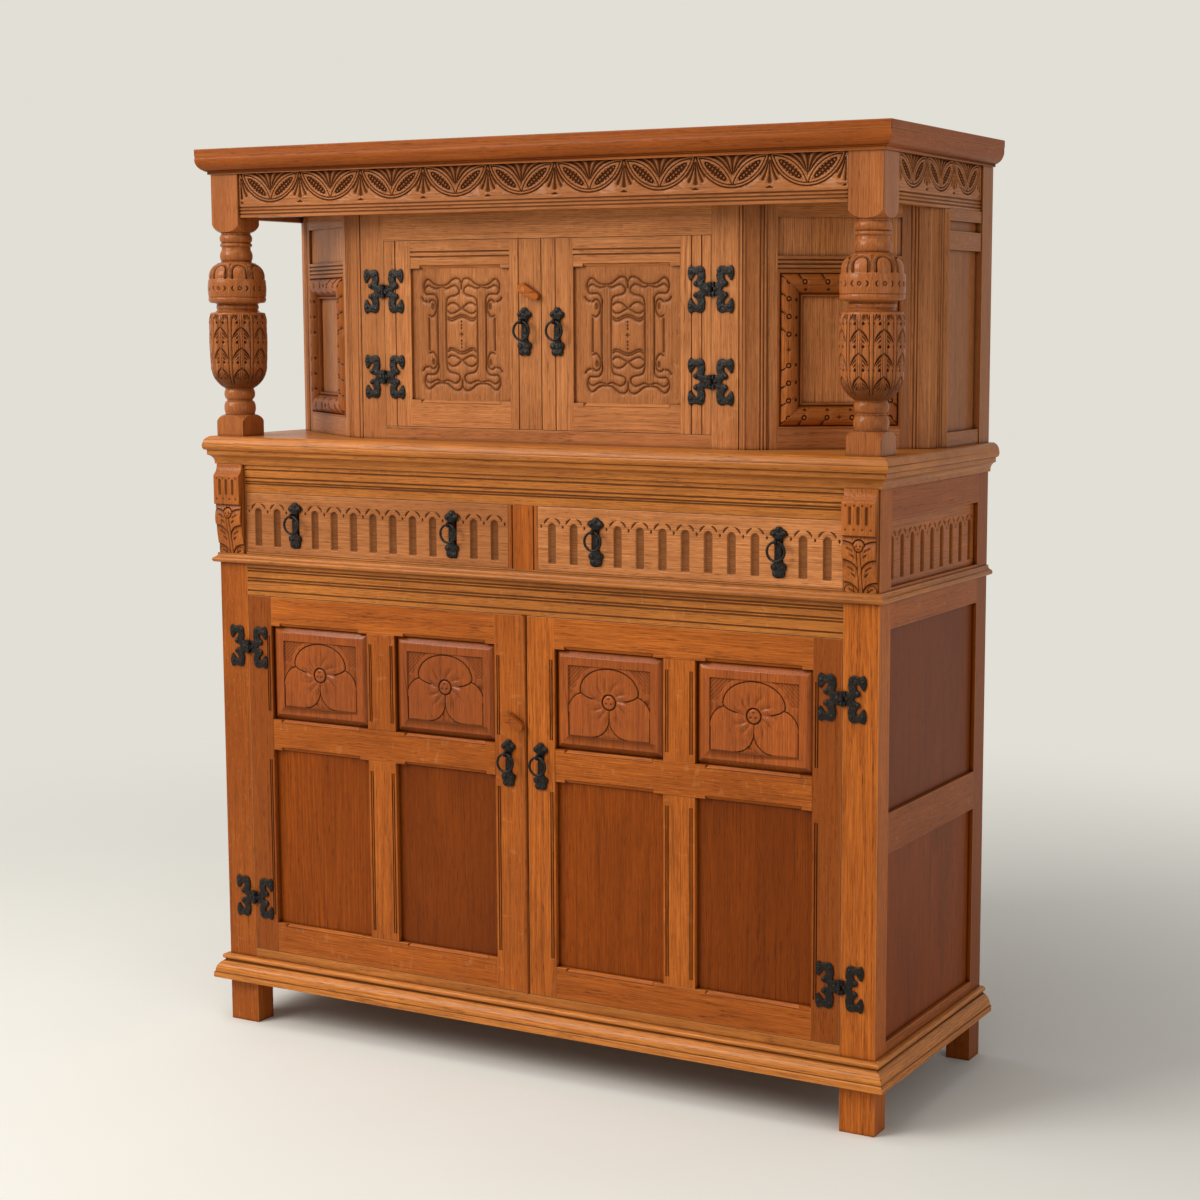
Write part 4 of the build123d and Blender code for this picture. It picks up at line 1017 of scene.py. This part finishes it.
def corbels():
    boards = []
    for points, _ in solids_of("corbels"):
        low, high = corners_of(points)
        seat = high[1]
        end = points[points[:, 0] < low[0] + WELD]
        heights, out = section_of(end[:, 2] - low[2], seat - end[:, 1])
        boards.append(front_board(low, high, corbel_cut((heights / MM, out / MM)),
                                  ((0.03, 0.07), 2, low[0] * 5), 0.5, 0.7, 0.0, 0.6, seat))
    carved_piece("corbel_carving", "corbels", boards, CARVED_OAK, smooth=40)


# ---- canted mouldings ----

MOULD = 42.0                        # width of the moulding round a canted panel
MOULD_BACK = 10.0
DOT_ACROSS = 18.0                   # from the outer edge to the row of dots
BEADS_UP = 35.0                     # and to the row of beads at the inner edge
LOBE = ((4.5, 9, 14, 18, 22, 28, 34), (8.0, 6.5, 3.0, 0.0, -2.5, -5.5, -11.0))
LAP = 1.2                           # how far the edge of one lobe lies over the next
DOT, DOT_RING = 2.5, 5.0            # the radius of a dot, and of the sunk ring round it
BEAD_WIDE = 2.2
STAR = (8.0, 7.0)


def mould_cut(profile, first, pitch):
    """Lobes that overlap, with a ringed dot on each joint, away from a star in the middle."""
    def cut(across, up):
        u = np.abs(across)
        out = -np.interp(up, *profile)
        past = u - first - np.interp(up, *LOBE)
        lap = (past + LAP) % pitch - LAP
        step = -2.4 * np.exp(-np.clip(lap, 0, FAR) / 4.5) * ease(lap, -LAP, 0)
        step = np.where(past < -LAP, 0.0, step) * (1 - 0.75 * ease(up, 11, 17))
        hook = vee(lap - 0.6, 2.2, 3.2) * (past > -LAP) * among(up, 4, 6, 10, 15)
        carving = np.minimum(step, hook) * among(up, 4.2, 6.5, 33.5, 36)
        dot = np.hypot(folded(u - first, pitch), up - DOT_ACROSS)
        dot = np.where(u < first - pitch / 2, FAR, dot)
        carving = np.select([dot < DOT, dot < DOT_RING], [0.5 - 0.08 * dot ** 2, -0.3], carving)
        carving = np.minimum(carving, vee(dot - 3.4, 1.4, 3.2) + 9 * (dot < 2.0))
        away = u - first + 7.5
        bead = np.hypot(folded(away, pitch), up - BEADS_UP)
        bead = np.where(away < -pitch / 2, FAR, bead)
        carving = np.where(bead < BEAD_WIDE, 0.9 - 0.18 * bead ** 2, carving)
        chip = np.abs(folded(away - 6.0, pitch)) * 0.7 + np.abs(up - 30.5) * 0.9
        star = (u / STAR[0]) ** 0.65 + (np.abs(up - DOT_ACROSS) / STAR[1]) ** 0.65
        carving = deepest(carving, -2.8 * ease(3.6 - chip, 0, 2.4) * (away > -pitch / 2),
                          -3.0 * np.clip(1 - star, 0, 1) ** 0.7)
        # Darker in the cuts and in two lines along the edges: wax, and painted shade.
        moat = np.maximum(0.8 * ((up > 3.4) & (up < 5.0)), 0.7 * ((up > 35.8) & (up < 38.8)))
        return out + carving, np.maximum(wax_and_shade_of(carving, 0.4, 2.2) * 0.9, moat)
    return cut


def canted_mouldings():
    """Four mitred lengths round each canted panel. The left wall is the right one mirrored."""
    solids = [turned_in_plan(points, -CANT) for points, _ in solids_of("canted_mouldings")
              if points[:, 0].min() > 0]
    low, high = corners_of(np.concatenate(solids))
    back = high[1]
    foot = min(solids, key=lambda points: points[:, 2].mean())
    places, out = section_of(foot[:, 2] - low[2], back - foot[:, 1])
    profile = (places / MM, MOULD_BACK - out / MM)
    wide, _, tall = span(low, high)
    face = back - MOULD_BACK * MM
    x, z = (low[0] + high[0]) / 2, (low[2] + high[2]) / 2
    boards = []
    for long, cut, sides in (
            (wide, mould_cut(profile, 21.0, 38.0), (((x, low[2]), (1, 0), (0, 1)),
                                                    ((x, high[2]), (-1, 0), (0, -1)))),
            (tall, mould_cut(profile, 25.6, 28.8), (((low[0], z), (0, -1), (1, 0)),
                                                    ((high[0], z), (0, 1), (-1, 0))))):
        board = carved_board((long, MOULD), cut, 0.9, MOULD_BACK, keep=0.5, mitre=1.0)
        for start, along, across in sides:
            for side in (1, -1):
                place = on_cant(start, along, across, face, side)
                grain = cut_from((0.05, 0.06), 0, 3.0 * start[1] + side)
                boards.append((board, place, grain, 0.25 + 0.3 * start[0]))
    carved_piece("canted_moulding_carving", "canted_mouldings", boards, CARVED_OAK, smooth=40)


def on_cant(start, along, across, face, side):
    """Lays a board on the canted wall: where it starts, and which ways it runs and faces."""
    def place(local):
        x = start[0] + local[:, 0] * along[0] + local[:, 2] * across[0]
        z = start[1] + local[:, 0] * along[1] + local[:, 2] * across[1]
        moved = turned_in_plan(np.stack([x, face + local[:, 1], z], 1), CANT)
        moved[:, 0] *= side
        return moved, side < 0
    return place


# ---- cup-and-cover posts ----

TURNED = (1149.5, 1478.5)           # the turned part of a post, between its square blocks
LEAVES = 8
HALF_LEAF = 20.5                    # half of one repeat, round the cup where it is widest
TURN_STEPS = 304                    # round the post
TURN_STEP = 1.1 * MM                # and along it, with no step shorter than the next figure
LEAST_STEP = 0.15 * MM
CUP = (1199.0, 1206.0, 1330.0, 1332.0)          # where its leaves start, are full and end
TIERS = (1235.0, 1271.5, 1309.0, 1344.0)        # the tips of the leaves
EYES = (1243.0, 1279.4, 1315.0)
CUP_VEINS = ((8.0, 15.0), (14.5, 12.0))         # below the tip, and how far round they reach
TIP = 1318.0                                    # where the topmost leaves part
BETWEEN = 17.4                                  # from the middle of a leaf to the rib's edge
BAND_MIDDLE = 1378.0                            # the band of rings and crescents
DOME_FOOT = 1394.5
CRESCENT_OUT = 9.5
TONGUE = 16                                     # up the dome to where a tongue's arch starts
CARVED_COVER = (1356.0, 1426.0)


def cup_leaves(s, z):
    """Leaves up the cup: arched laps with veins under them, drilled eyes, ribs between."""
    lap = -0.3
    lines = [vee(s - vein, 1.0, 1.5) * (z > 1212) for vein in (2.0, 5.2)]
    drop = 15.0 * (1 - np.sqrt(np.clip(1 - (np.clip(s - 1.5, 0, FAR) / 15.5) ** 2, 0, 1)))
    drop = drop + np.clip(s - 15, 0, FAR) * 5 + 0.6 * s
    lens = 0.4 + 2.2 * np.sin(math.pi * np.clip((s - 2.5) / 15, 0, 1) ** 0.8)
    reach = (s > 2.5) & (s < BETWEEN)
    for tier in TIERS:
        under = tier - drop - z
        lap = lap - 1.8 * np.exp(-np.clip(under, 0, FAR) / 5.0) * (under > 0) * (under < 30)
        lines.append(gouge(under - 1.4, lens, 3.0) * reach)
        lines += [gouge(under - below, 2.0, 2.2) * among(s, 3.5, 6, end - 4, end)
                  for below, end in CUP_VEINS]
    for eye in EYES:
        dark = 4.2 - np.abs(s - 7.2) * 1.2 - np.abs(z - eye - 0.6 * (3 - np.abs(s - 7.2)))
        lines.append(-3.2 * ease(dark, 0, 2.2))
    lines += [gouge(np.hypot(s - 8.0, (z - 1327.5) * 1.1), 3.4, 2.6),
              vee(z - TIP - (s - 1.0) * 1.3, 1.1, 1.6) * (s < 8) * (z < 1329),
              vee(z - TIP - (HALF_LEAF - s) * 1.1, 1.2, 1.6) * (s > 11) * (z < 1331)]
    rib = -0.1 - 0.10 * (HALF_LEAF - s) ** 2
    height = np.where(s > BETWEEN + 0.2, rib, deepest(lap, *lines))
    return np.minimum(height, vee(s - BETWEEN, 1.1, 2.0)) * among(z, *CUP)


def cover_marks(s, z, arc):
    """The band of rings and crescents, and the tongues and ribs on the dome over it."""
    middle = np.hypot(s, z - BAND_MIDDLE)
    bend = np.hypot(s - CRESCENT_OUT, z - BAND_MIDDLE)
    turn = np.abs(np.degrees(np.arctan2(z - BAND_MIDDLE, s - CRESCENT_OUT)))
    half = 1.9 * np.cos(np.radians(np.clip(turn, 0, 90))) + 0.05
    tongue = np.where(arc > TONGUE, np.hypot(s, arc - TONGUE), s)
    on_dome = (z > DOME_FOOT + 0.5) * (arc < 35)
    lines = deepest(
        *(vee(z - edge, 0.9, 1.3) for edge in (1362.0, DOME_FOOT)),
        vee(middle - 3.0, 1.3, 2.0), gouge(middle, 1.0, 1.2),
        vee(bend - 4.6, half, 2.6) * (turn < 80),
        vee(tongue - 13.2, 1.7, 2.6) * on_dome, vee(tongue - 16.4, 0.9, 1.4) * on_dome,
        vee(s - 18.9, 0.9, 1.6) * on_dome * (arc > 4))
    swell = 0.5 * (tongue < 12) * np.clip(1 - tongue / 12, 0, 1)
    return lines - 0.6 * on_dome + swell * on_dome


def post_shell(solid, middle):
    """The turned and carved part of a post, in metres round its own axis."""
    points = solid[0] - middle
    low, high = TURNED[0] * MM, TURNED[1] * MM
    part = points[(points[:, 2] > low - TURN_STEP) & (points[:, 2] < high + 0.2 * MM)]
    corners, reach = section_of(part[:, 2], np.hypot(part[:, 0], part[:, 1]))
    heights = np.concatenate([[low], corners[(corners > low) & (corners < high)], [high]])
    radii = np.interp(heights, corners, reach)
    arc = np.concatenate([[0], np.cumsum(np.hypot(np.diff(heights), np.diff(radii)))])
    steps = np.unique(np.concatenate([arc, np.arange(0, arc[-1], TURN_STEP)]))
    steps = steps[np.append(np.diff(steps) > LEAST_STEP, True)]
    z, r = np.interp(steps, arc, heights), np.interp(steps, arc, radii)
    slope = np.arctan2(np.gradient(r), np.gradient(z))
    turns = np.linspace(0, 2 * math.pi, TURN_STEPS, endpoint=False)
    theta, z_all = np.meshgrid(turns, z)
    repeat = 2 * math.pi / LEAVES
    s = np.abs(folded(theta, repeat)) / repeat * 2 * HALF_LEAF
    dome = np.interp(DOME_FOOT * MM, heights, arc)
    arc_all = ((steps - dome) / MM)[:, None] + 0 * s
    z_mm = z_all / MM
    foot, top = CARVED_COVER
    height = np.select([(z_mm > foot) & (z_mm <= top), z_mm < CUP[3]],
                       [cover_marks(s, z_mm, arc_all), cup_leaves(s, z_mm)], 0.0)
    out = r[:, None] + height * MM * np.cos(slope)[:, None]
    up = z_all - height * MM * np.sin(slope)[:, None]
    shell = np.stack([out * np.sin(theta), -out * np.cos(theta), up], -1).reshape(-1, 3)
    rows = len(z)
    faces = grid_faces(rows, TURN_STEPS, ring=True)
    last = (rows - 1) * TURN_STEPS
    faces.append(list(range(TURN_STEPS))[::-1])
    faces.append(list(range(last, last + TURN_STEPS)))
    # Darker towards the foot of the cup, which faces down: painted shade. The cuts are darker
    # for wax, and as painted shade.
    cup_foot_shade = 0.7 * ease(1240 - z_mm, 0, 34) * (z_mm > 1196)
    wax_and_shade = np.maximum(wax_and_shade_of(height, 0.5, 1.9) * 0.95, cup_foot_shade).ravel()
    near = kdtree.KDTree(len(shell))
    for i, point in enumerate(shell.tolist()):
        near.insert(point, i)
    near.balance()
    points, faces = thinned(shell / MM, faces, 0.5)
    wax_and_shade = wax_and_shade[[near.find(point)[1] for point in points * MM]]
    return points * MM, faces, wax_and_shade


def turned_posts():
    carved = None
    for node, shift in (("left_turned_post", 2.0), ("right_turned_post", 7.0)):
        solid = solids_of(node)[0]
        low, high = corners_of(solid[0])
        middle = (low + high) / 2 * np.array([1, 1, 0])
        heart = np.array([0.03, 0.05, shift]) - middle

        def grain(points):
            return points + heart
        parts = Parts()
        carved = carved or post_shell(solid, middle)
        points, faces, wax_and_shade = carved
        parts.add(points + middle, faces, grain(points + middle), 0.5, wax_and_shade)
        for height, above in ((TURNED[0] * MM, False), (TURNED[1] * MM, True)):
            parts.add_eased(sawn(solid, height, above), ARRIS, None, 0.5, grain=grain)
        parts.piece(node + "_carved", node, TURNED_OAK, "carved_oak", even=True)


# ---- ironwork ----

LEAF_OUT = 3.0 * MM                 # how far a hinge leaf stands off its seat
PLATE_OUT = 4.0 * MM
SOFT = 1.2 * MM                     # how far the front edges of the castings are rounded
SLIM = 0.6 * MM                     # how much slimmer the hinge leaves are than their seats
PIN_OUT = 4.0 * MM
PIN = 1.6 * MM
PIN_BORE = 1.7 * MM
KNUCKLE = 3.6 * MM
KNUCKLES = {True: ((-12.0, -4.1), (4.1, 12.0)), False: ((-3.9, 3.9),)}
RING_OUT = 13.0 * MM
RING_SIDES = 56
WIRE_SIDES = 12
EYE = (2.8 * MM, 4.9 * MM)          # a handle's eye, inside and outside radius
EYE_HALF = 2.4 * MM                 # half its width
EYE_NECK = 4.2 * MM                 # half the height of what holds it
CLOSED = 0.02 * MM                  # the radius at which an end counts as closed
BARREL_SOFT = 0.7 * MM              # the rounding of a barrel's rims
BARREL_GROOVE = (0.5 * MM, 0.45 * MM)       # half the width and the depth of its grooves
BARREL_SIDES, PIN_SIDES, EYE_SIDES = 24, 16, 28
# domes on a hinge leaf (out, up, radius) and on a handle plate (across, up, radius)
LEAF_DOMES = ((36.5, 28.0, 3.4), (28.0, 9.5, 4.2), (17.0, 30.0, 3.0), (8.5, 0.0, 3.6))
PLATE_DOMES = ((0.0, 36.0, 4.4), (8.5, 29.5, 3.6), (-8.5, 29.5, 3.6), (7.0, -25.0, 4.4),
               (-7.0, -25.0, 4.4), (5.0, -36.0, 2.6), (-5.0, -36.0, 2.6))


def seat_outline(points, triangles):
    """The outline, across and up, of the flat back that a casting sits on, and its plane."""
    seat = points[:, 1].max()
    flat = triangles[(points[triangles, 1] > seat - WELD).all(axis=1)]
    edges = {(a, b) for tri in flat.tolist() for a, b in zip(tri, tri[1:] + tri[:1])}
    follows = {a: b for a, b in edges if (b, a) not in edges}
    start = next(iter(follows))
    loop = [start]
    while follows[loop[-1]] != start:
        loop.append(follows[loop[-1]])
    return points[loop][:, [0, 2]], seat


def casting(rim, seat, thick, slim=0.0):
    """A plate with a soft front edge, this much inside its outline: points and faces."""
    curve = bpy.data.curves.new("casting", "CURVE")
    curve.dimensions = "2D"
    curve.fill_mode = "BOTH"
    curve.extrude = thick / 2 - SOFT
    curve.bevel_depth = SOFT
    curve.bevel_resolution = 2
    curve.offset = -SOFT - slim
    spline = curve.splines.new("POLY")
    spline.points.add(len(rim) - 1)
    for point, (x, z) in zip(spline.points, rim):
        point.co = (x, z, 0.0, 1.0)
    spline.use_cyclic_u = True
    made = worked_out(curve)
    work = bmesh.new()
    work.from_mesh(made)
    bmesh.ops.remove_doubles(work, verts=work.verts, dist=0.02 * MM)
    bmesh.ops.recalc_face_normals(work, faces=work.faces)
    flat, faces = arrays_of(work)
    bpy.data.meshes.remove(made)
    points = np.stack([flat[:, 0], seat - thick / 2 - flat[:, 2], flat[:, 1]], 1)
    return points, faces


def lathe(section, columns, axis, middle):
    """A solid of revolution from a closed section (along the axis, radius)."""
    section = np.array(section)
    turns = np.linspace(0, 2 * math.pi, columns, endpoint=False)
    theta, along = np.meshgrid(turns, section[:, 0])
    radius = section[:, 1][:, None]
    first, second = radius * np.cos(theta), radius * np.sin(theta)
    order = (along, first, second) if axis == 0 else (first, second, along)
    points = np.stack(order, -1).reshape(-1, 3) + np.array(middle)
    return points, grid_faces(len(section), columns, ring=True, tube=True)


def barrel_section(start, end, inner, outer):
    """A tube's section with rounded rims and two shallow grooves round it."""
    soft, (half, deep) = BARREL_SOFT, BARREL_GROOVE
    third = (end - start) / 3
    rows = [(start, inner), (start, outer - soft), (start + soft, outer)]
    for place in (start + third, end - third):
        rows += [(place - half, outer), (place, outer - deep), (place + half, outer)]
    return rows + [(end - soft, outer), (end, outer - soft), (end, inner)]


def box_solid(low, high):
    points = np.array([[x, y, z] for z in (low[2], high[2]) for y in (low[1], high[1])
                       for x in (low[0], high[0])])
    faces = [[0, 2, 3, 1], [4, 5, 7, 6], [0, 1, 5, 4], [2, 6, 7, 3], [0, 4, 6, 2], [1, 3, 7, 5]]
    return points, faces


def hinge_parts(solid, fixed):
    """The solids of one hinge leaf and the places of its domes."""
    points, triangles = solid
    rim, seat = seat_outline(points, triangles)
    low, high = corners_of(points)
    way = 1 if rim[:, 0].min() - low[0] > KNUCKLE else -1
    pin = low[0] + KNUCKLE if way > 0 else high[0] - KNUCKLE
    z = (low[2] + high[2]) / 2
    made = [casting(rim, seat, LEAF_OUT, SLIM)]
    for start, end in KNUCKLES[fixed]:
        section = barrel_section(z + start * MM, z + end * MM, PIN_BORE, KNUCKLE)
        made.append(lathe(section, BARREL_SIDES, 2, (pin, seat - PIN_OUT, 0.0)))
        near, far = sorted((pin + way * 2.4 * MM, pin + way * 7.1 * MM))
        made.append(box_solid((near, seat - PIN_OUT - 1 * MM, z + start * MM),
                              (far, seat - 0.6 * MM, z + end * MM)))
    if fixed:
        half = KNUCKLES[True][1][1] * MM - 0.2 * MM
        section = [(z + end, radius) for end, radius in (
            (-half, CLOSED), (-half, PIN), (half, PIN), (half, CLOSED))]
        made.append(lathe(section, PIN_SIDES, 2, (pin, seat - PIN_OUT, 0.0)))
    return made, [(pin + way * out * MM, seat - LEAF_OUT, z + end * up * MM, radius * MM)
                  for out, up, radius in LEAF_DOMES for end in ((1, -1) if up else (1,))]


def handle_parts(solid):
    """The solids of one handle plate and the places of its domes."""
    points, triangles = solid
    rim, seat = seat_outline(points, triangles)
    x = (rim[:, 0].min() + rim[:, 0].max()) / 2
    middle = (points[:, 2].max() + points[:, 2].min()) / 2
    eye = points[points[:, 1] < seat - RING_OUT]
    z = (eye[:, 2].max() + eye[:, 2].min()) / 2
    made = [casting(rim, seat, PLATE_OUT)]
    section = barrel_section(-EYE_HALF, EYE_HALF, *EYE)
    made.append(lathe(section, EYE_SIDES, 0, (x, seat - RING_OUT, z)))
    made.append(box_solid((x - EYE_HALF, seat - RING_OUT + 3.2 * MM, z - EYE_NECK),
                          (x + EYE_HALF, seat - PLATE_OUT + 1 * MM, z + EYE_NECK)))
    return made, [(x + a * MM, seat - PLATE_OUT, middle + b * MM, radius * MM)
                  for a, b, radius in PLATE_DOMES]


def ring_parts(solid):
    """A ring of round wire."""
    low, high = corners_of(solid[0])
    wire = (high[1] - low[1]) / 2
    across = (high[0] - low[0]) / 2 - wire
    turns = np.linspace(0, 2 * math.pi, WIRE_SIDES, endpoint=False)
    section = [(wire * math.sin(turn), across + wire * math.cos(turn)) for turn in turns]
    points, faces = lathe(section, RING_SIDES, 0, (0, 0, 0))
    return [(points[:, [1, 0, 2]] + (low + high) / 2, [face[::-1] for face in faces])]


def dome_tree():
    """Geometry nodes that set a flattened dome on each point, as wide as the point says."""
    tree = bpy.data.node_groups.new("domes", "GeometryNodeTree")
    keys = {}
    for name, kind in (("Geometry", "Geometry"), ("Rise", "Float"), ("Material", "Material")):
        keys[name] = tree.interface.new_socket(
            name, in_out="INPUT", socket_type="NodeSocket" + kind).identifier
    tree.interface.new_socket("Geometry", in_out="OUTPUT", socket_type="NodeSocketGeometry")

    def add(kind, settings=None, inputs=None):
        return add_node(tree, kind, settings, inputs).outputs
    given = add("NodeGroupInput")
    ball = add("GeometryNodeMeshUVSphere", {}, {"Segments": 16, "Rings": 8, "Radius": 1.0})
    wide = add("GeometryNodeInputNamedAttribute", {"data_type": "FLOAT"},
               {"Name": "wide"})["Attribute"]
    flat = add("ShaderNodeMath", {"operation": "MULTIPLY"}, {0: wide, 1: given["Rise"]})[0]
    size = add("ShaderNodeCombineXYZ", {}, {"X": wide, "Y": flat, "Z": wide})[0]
    spread = add("GeometryNodeInstanceOnPoints", {}, {
        "Points": given["Geometry"], "Instance": ball["Mesh"], "Scale": size})[0]
    solid = add("GeometryNodeRealizeInstances", {}, {0: spread})[0]
    painted = add("GeometryNodeSetMaterial", {}, {
        "Geometry": solid, "Material": given["Material"]})[0]
    add("NodeGroupOutput", {}, {0: painted})
    return tree, keys["Rise"], keys["Material"]


DOMES = dome_tree()
DOME_RISE = 0.42                    # how high a dome is, beside how wide


def domes(node, places):
    """The cast domes of a node's ironwork."""
    tree, rise, metal = DOMES

    def spread(holder):
        modifier = holder.modifiers.new("domes", "NODES")
        modifier.node_group = tree
        modifier[rise] = DOME_RISE
        modifier[metal] = IRON
        holder.update_tag()
    mesh = bpy.data.meshes.new(node + "_domes")
    mesh.from_pydata([place[:3] for place in places], [], [])
    add_values(mesh, "wide", [place[3] for place in places])
    made = worked_out(mesh, spread)
    made.polygons.foreach_set("use_smooth", [True] * len(made.polygons))
    finished(in_scene(node + "_domes", made), node)


def iron_piece(node, made):
    parts = Parts()
    for points, faces in made:
        parts.add(points, faces, points)
    parts.piece(node + "_castings", node, IRON, "iron", smooth=50)


def ironwork():
    for node in sorted(NODES):
        if node.endswith("_ring"):
            iron_piece(node, ring_parts(solids_of(node)[0]))
        elif any(word in node for word in ("ironwork", "plates", "hinge_leaves")):
            made, places = [], []
            for solid in solids_of(node):
                if np.ptp(solid[0][:, 0]) > 30 * MM:
                    solids, spots = hinge_parts(solid, "fixed" in node)
                else:
                    solids, spots = handle_parts(solid)
                made += solids
                places += spots
            iron_piece(node, made)
            domes(node, places)


# ---- light and floor ----

PALE = colour(226, 223, 214)
SHADE = (0.34, 0.345, 0.35, 1.0)    # what the surround adds as light
MIDDLE = (0.0, 0.0, 0.9)
FLOOR_REACH = 60
FLOOR_SIDES = 64
FLOOR_FADE = (1.0, 3.2)             # how far out the floor turns into the surround


def lamp(name, place, size, power):
    """A rectangular lamp that faces the middle of the cupboard."""
    light = bpy.data.lights.new(name, "AREA")
    light.shape = "RECTANGLE"
    light.size, light.size_y = size
    light.energy = power
    made = in_scene(name, light)
    made.location = place
    direction = Vector(MIDDLE) - Vector(place)
    made.rotation_euler = direction.to_track_quat("-Z", "Y").to_euler()


def studio():
    """A pale floor that fades into a pale surround, under soft lamps."""
    finish = Finish("pale_floor")
    place = finish.node("TexCoord").outputs["Object"]
    far = finish.value("VectorMath", {"operation": "LENGTH"}, {0: place}, output="Value")
    grit = finish.noise(place, scale=3.0, detail=4.0)
    tint = finish.mix(grit * 0.5, colour(222, 219, 209), colour(230, 227, 219))
    matt = finish.node("BsdfPrincipled", {}, {"Base Color": tint, "Roughness": 0.85,
                                              "Specular IOR Level": 0.2})
    glow = finish.node("Emission", {}, {"Color": PALE, "Strength": 1.0})
    faded = finish.node("MixShader", {}, {0: far.ramp(*FLOOR_FADE), 1: matt.outputs[0],
                                          2: glow.outputs[0]})
    finish.node("OutputMaterial", {}, {"Surface": faded.outputs[0]})
    mesh = bpy.data.meshes.new("floor")
    turns = np.linspace(0, 2 * math.pi, FLOOR_SIDES + 1)[:-1]
    rim = [(FLOOR_REACH * math.cos(turn), FLOOR_REACH * math.sin(turn), 0) for turn in turns]
    mesh.from_pydata(rim, [], [list(range(FLOOR_SIDES))])
    mesh.materials.append(finish.owner)
    floor = in_scene("floor", mesh)

    surround = Finish("surround", "worlds")
    path = surround.node("LightPath").outputs
    seen = Value(surround, path["Is Camera Ray"])
    for ray in ("Is Glossy Ray", "Is Transmission Ray"):
        seen = seen.math("MAXIMUM", seen, Value(surround, path[ray]))
    back = surround.node("Background", {}, {"Color": surround.mix(seen, SHADE, PALE)})
    surround.node("OutputWorld", {}, {"Surface": back.outputs[0]})
    bpy.context.scene.world = surround.owner

    lamp("window", (-2.6, -3.4, 3.2), (2.6, 2.2), 165.0)
    lamp("ceiling", (-0.9, -1.2, 4.2), (4.4, 3.0), 92.0)
    lamp("fill", (3.6, -1.6, 1.8), (2.2, 2.2), 22.0)
    bpy.context.scene.view_settings.view_transform = "Standard"


# ---- the cupboard ----

set_camera()
studio()

UPRIGHT = ("side_panels", "back_panels", "upper_wall_panels")
INSIDE = ("back_panels", "drawer_runners", "floor_board", "inner_shelf", "soffit_board",
          "left_drawer_box", "right_drawer_box")
PANELS = ("side_panels", "lower_left_door_panels", "lower_right_door_panels")
UPPER = ("upper_left_door_frame", "upper_right_door_frame", "upper_front_frame",
         "upper_wall_frames", "upper_wall_panels", "upper_corner_posts", "upper_back_posts")
MOULDED = ("base_moulding", "waist_moulding", "middle_shelf", "shelf_cove", "front_rails")
MADE = ("front_frieze", "side_friezes", "left_drawer_front", "right_drawer_front", "corbels",
        "side_fluted_panels", "upper_left_door_panel", "upper_right_door_panel",
        "canted_mouldings", "left_turned_post", "right_turned_post")
IRON_WORDS = ("ironwork", "_ring", "plates", "hinge_leaves")
# The base moulding and the middle shelf are lighter partly as painted sheen, and the upper wall
# panels are lighter to lift the canted panels out of the shade under the frieze: painted light.
TONES = {"middle_shelf": 0.7, "shelf_cove": 0.5, "front_rails": 0.5, "base_moulding": 1.5,
         "cornice_frame": -0.1, "top_board": -0.2, "side_rails": 0.2, "back_posts": -0.5,
         "upper_back_posts": -0.3, "upper_corner_posts": 0.2, "upper_wall_frames": 0.5,
         "upper_wall_panels": 1.5, "lower_left_door_frame": 0.5, "lower_right_door_frame": 0.7,
         "upper_left_door_frame": 0.5, "upper_right_door_frame": 0.65}
# boards further out than the first figure, of these nodes, are darker by the second. On the
# upper walls those are the side returns, which face away from the lamps: painted shade.
OUTER = {"lower_left_door_frame": (0.5, 1.25), "lower_right_door_frame": (0.5, 1.6),
         "upper_wall_frames": (0.58, 1.0), "upper_wall_panels": (0.58, 2.1)}

for node in sorted(NODES):
    if node in MADE or any(word in node for word in IRON_WORDS):
        continue
    upright = node in UPRIGHT
    if node in INSIDE:
        dress(node, INSIDE_OAK, "inside_oak", upright)
    elif node in PANELS:
        dress(node, PANEL_OAK, "oak", True, keep=lambda size: size[2] > TALL_PANEL)
    else:
        wood = UPPER_OAK if node in UPPER else MOULD_OAK if node in MOULDED else FRAME_OAK
        dress(node, wood, "oak", upright, TONES.get(node))

friezes()
fluted_boards()
carved_panels()
corbels()
canted_mouldings()
turned_posts()
ironwork()
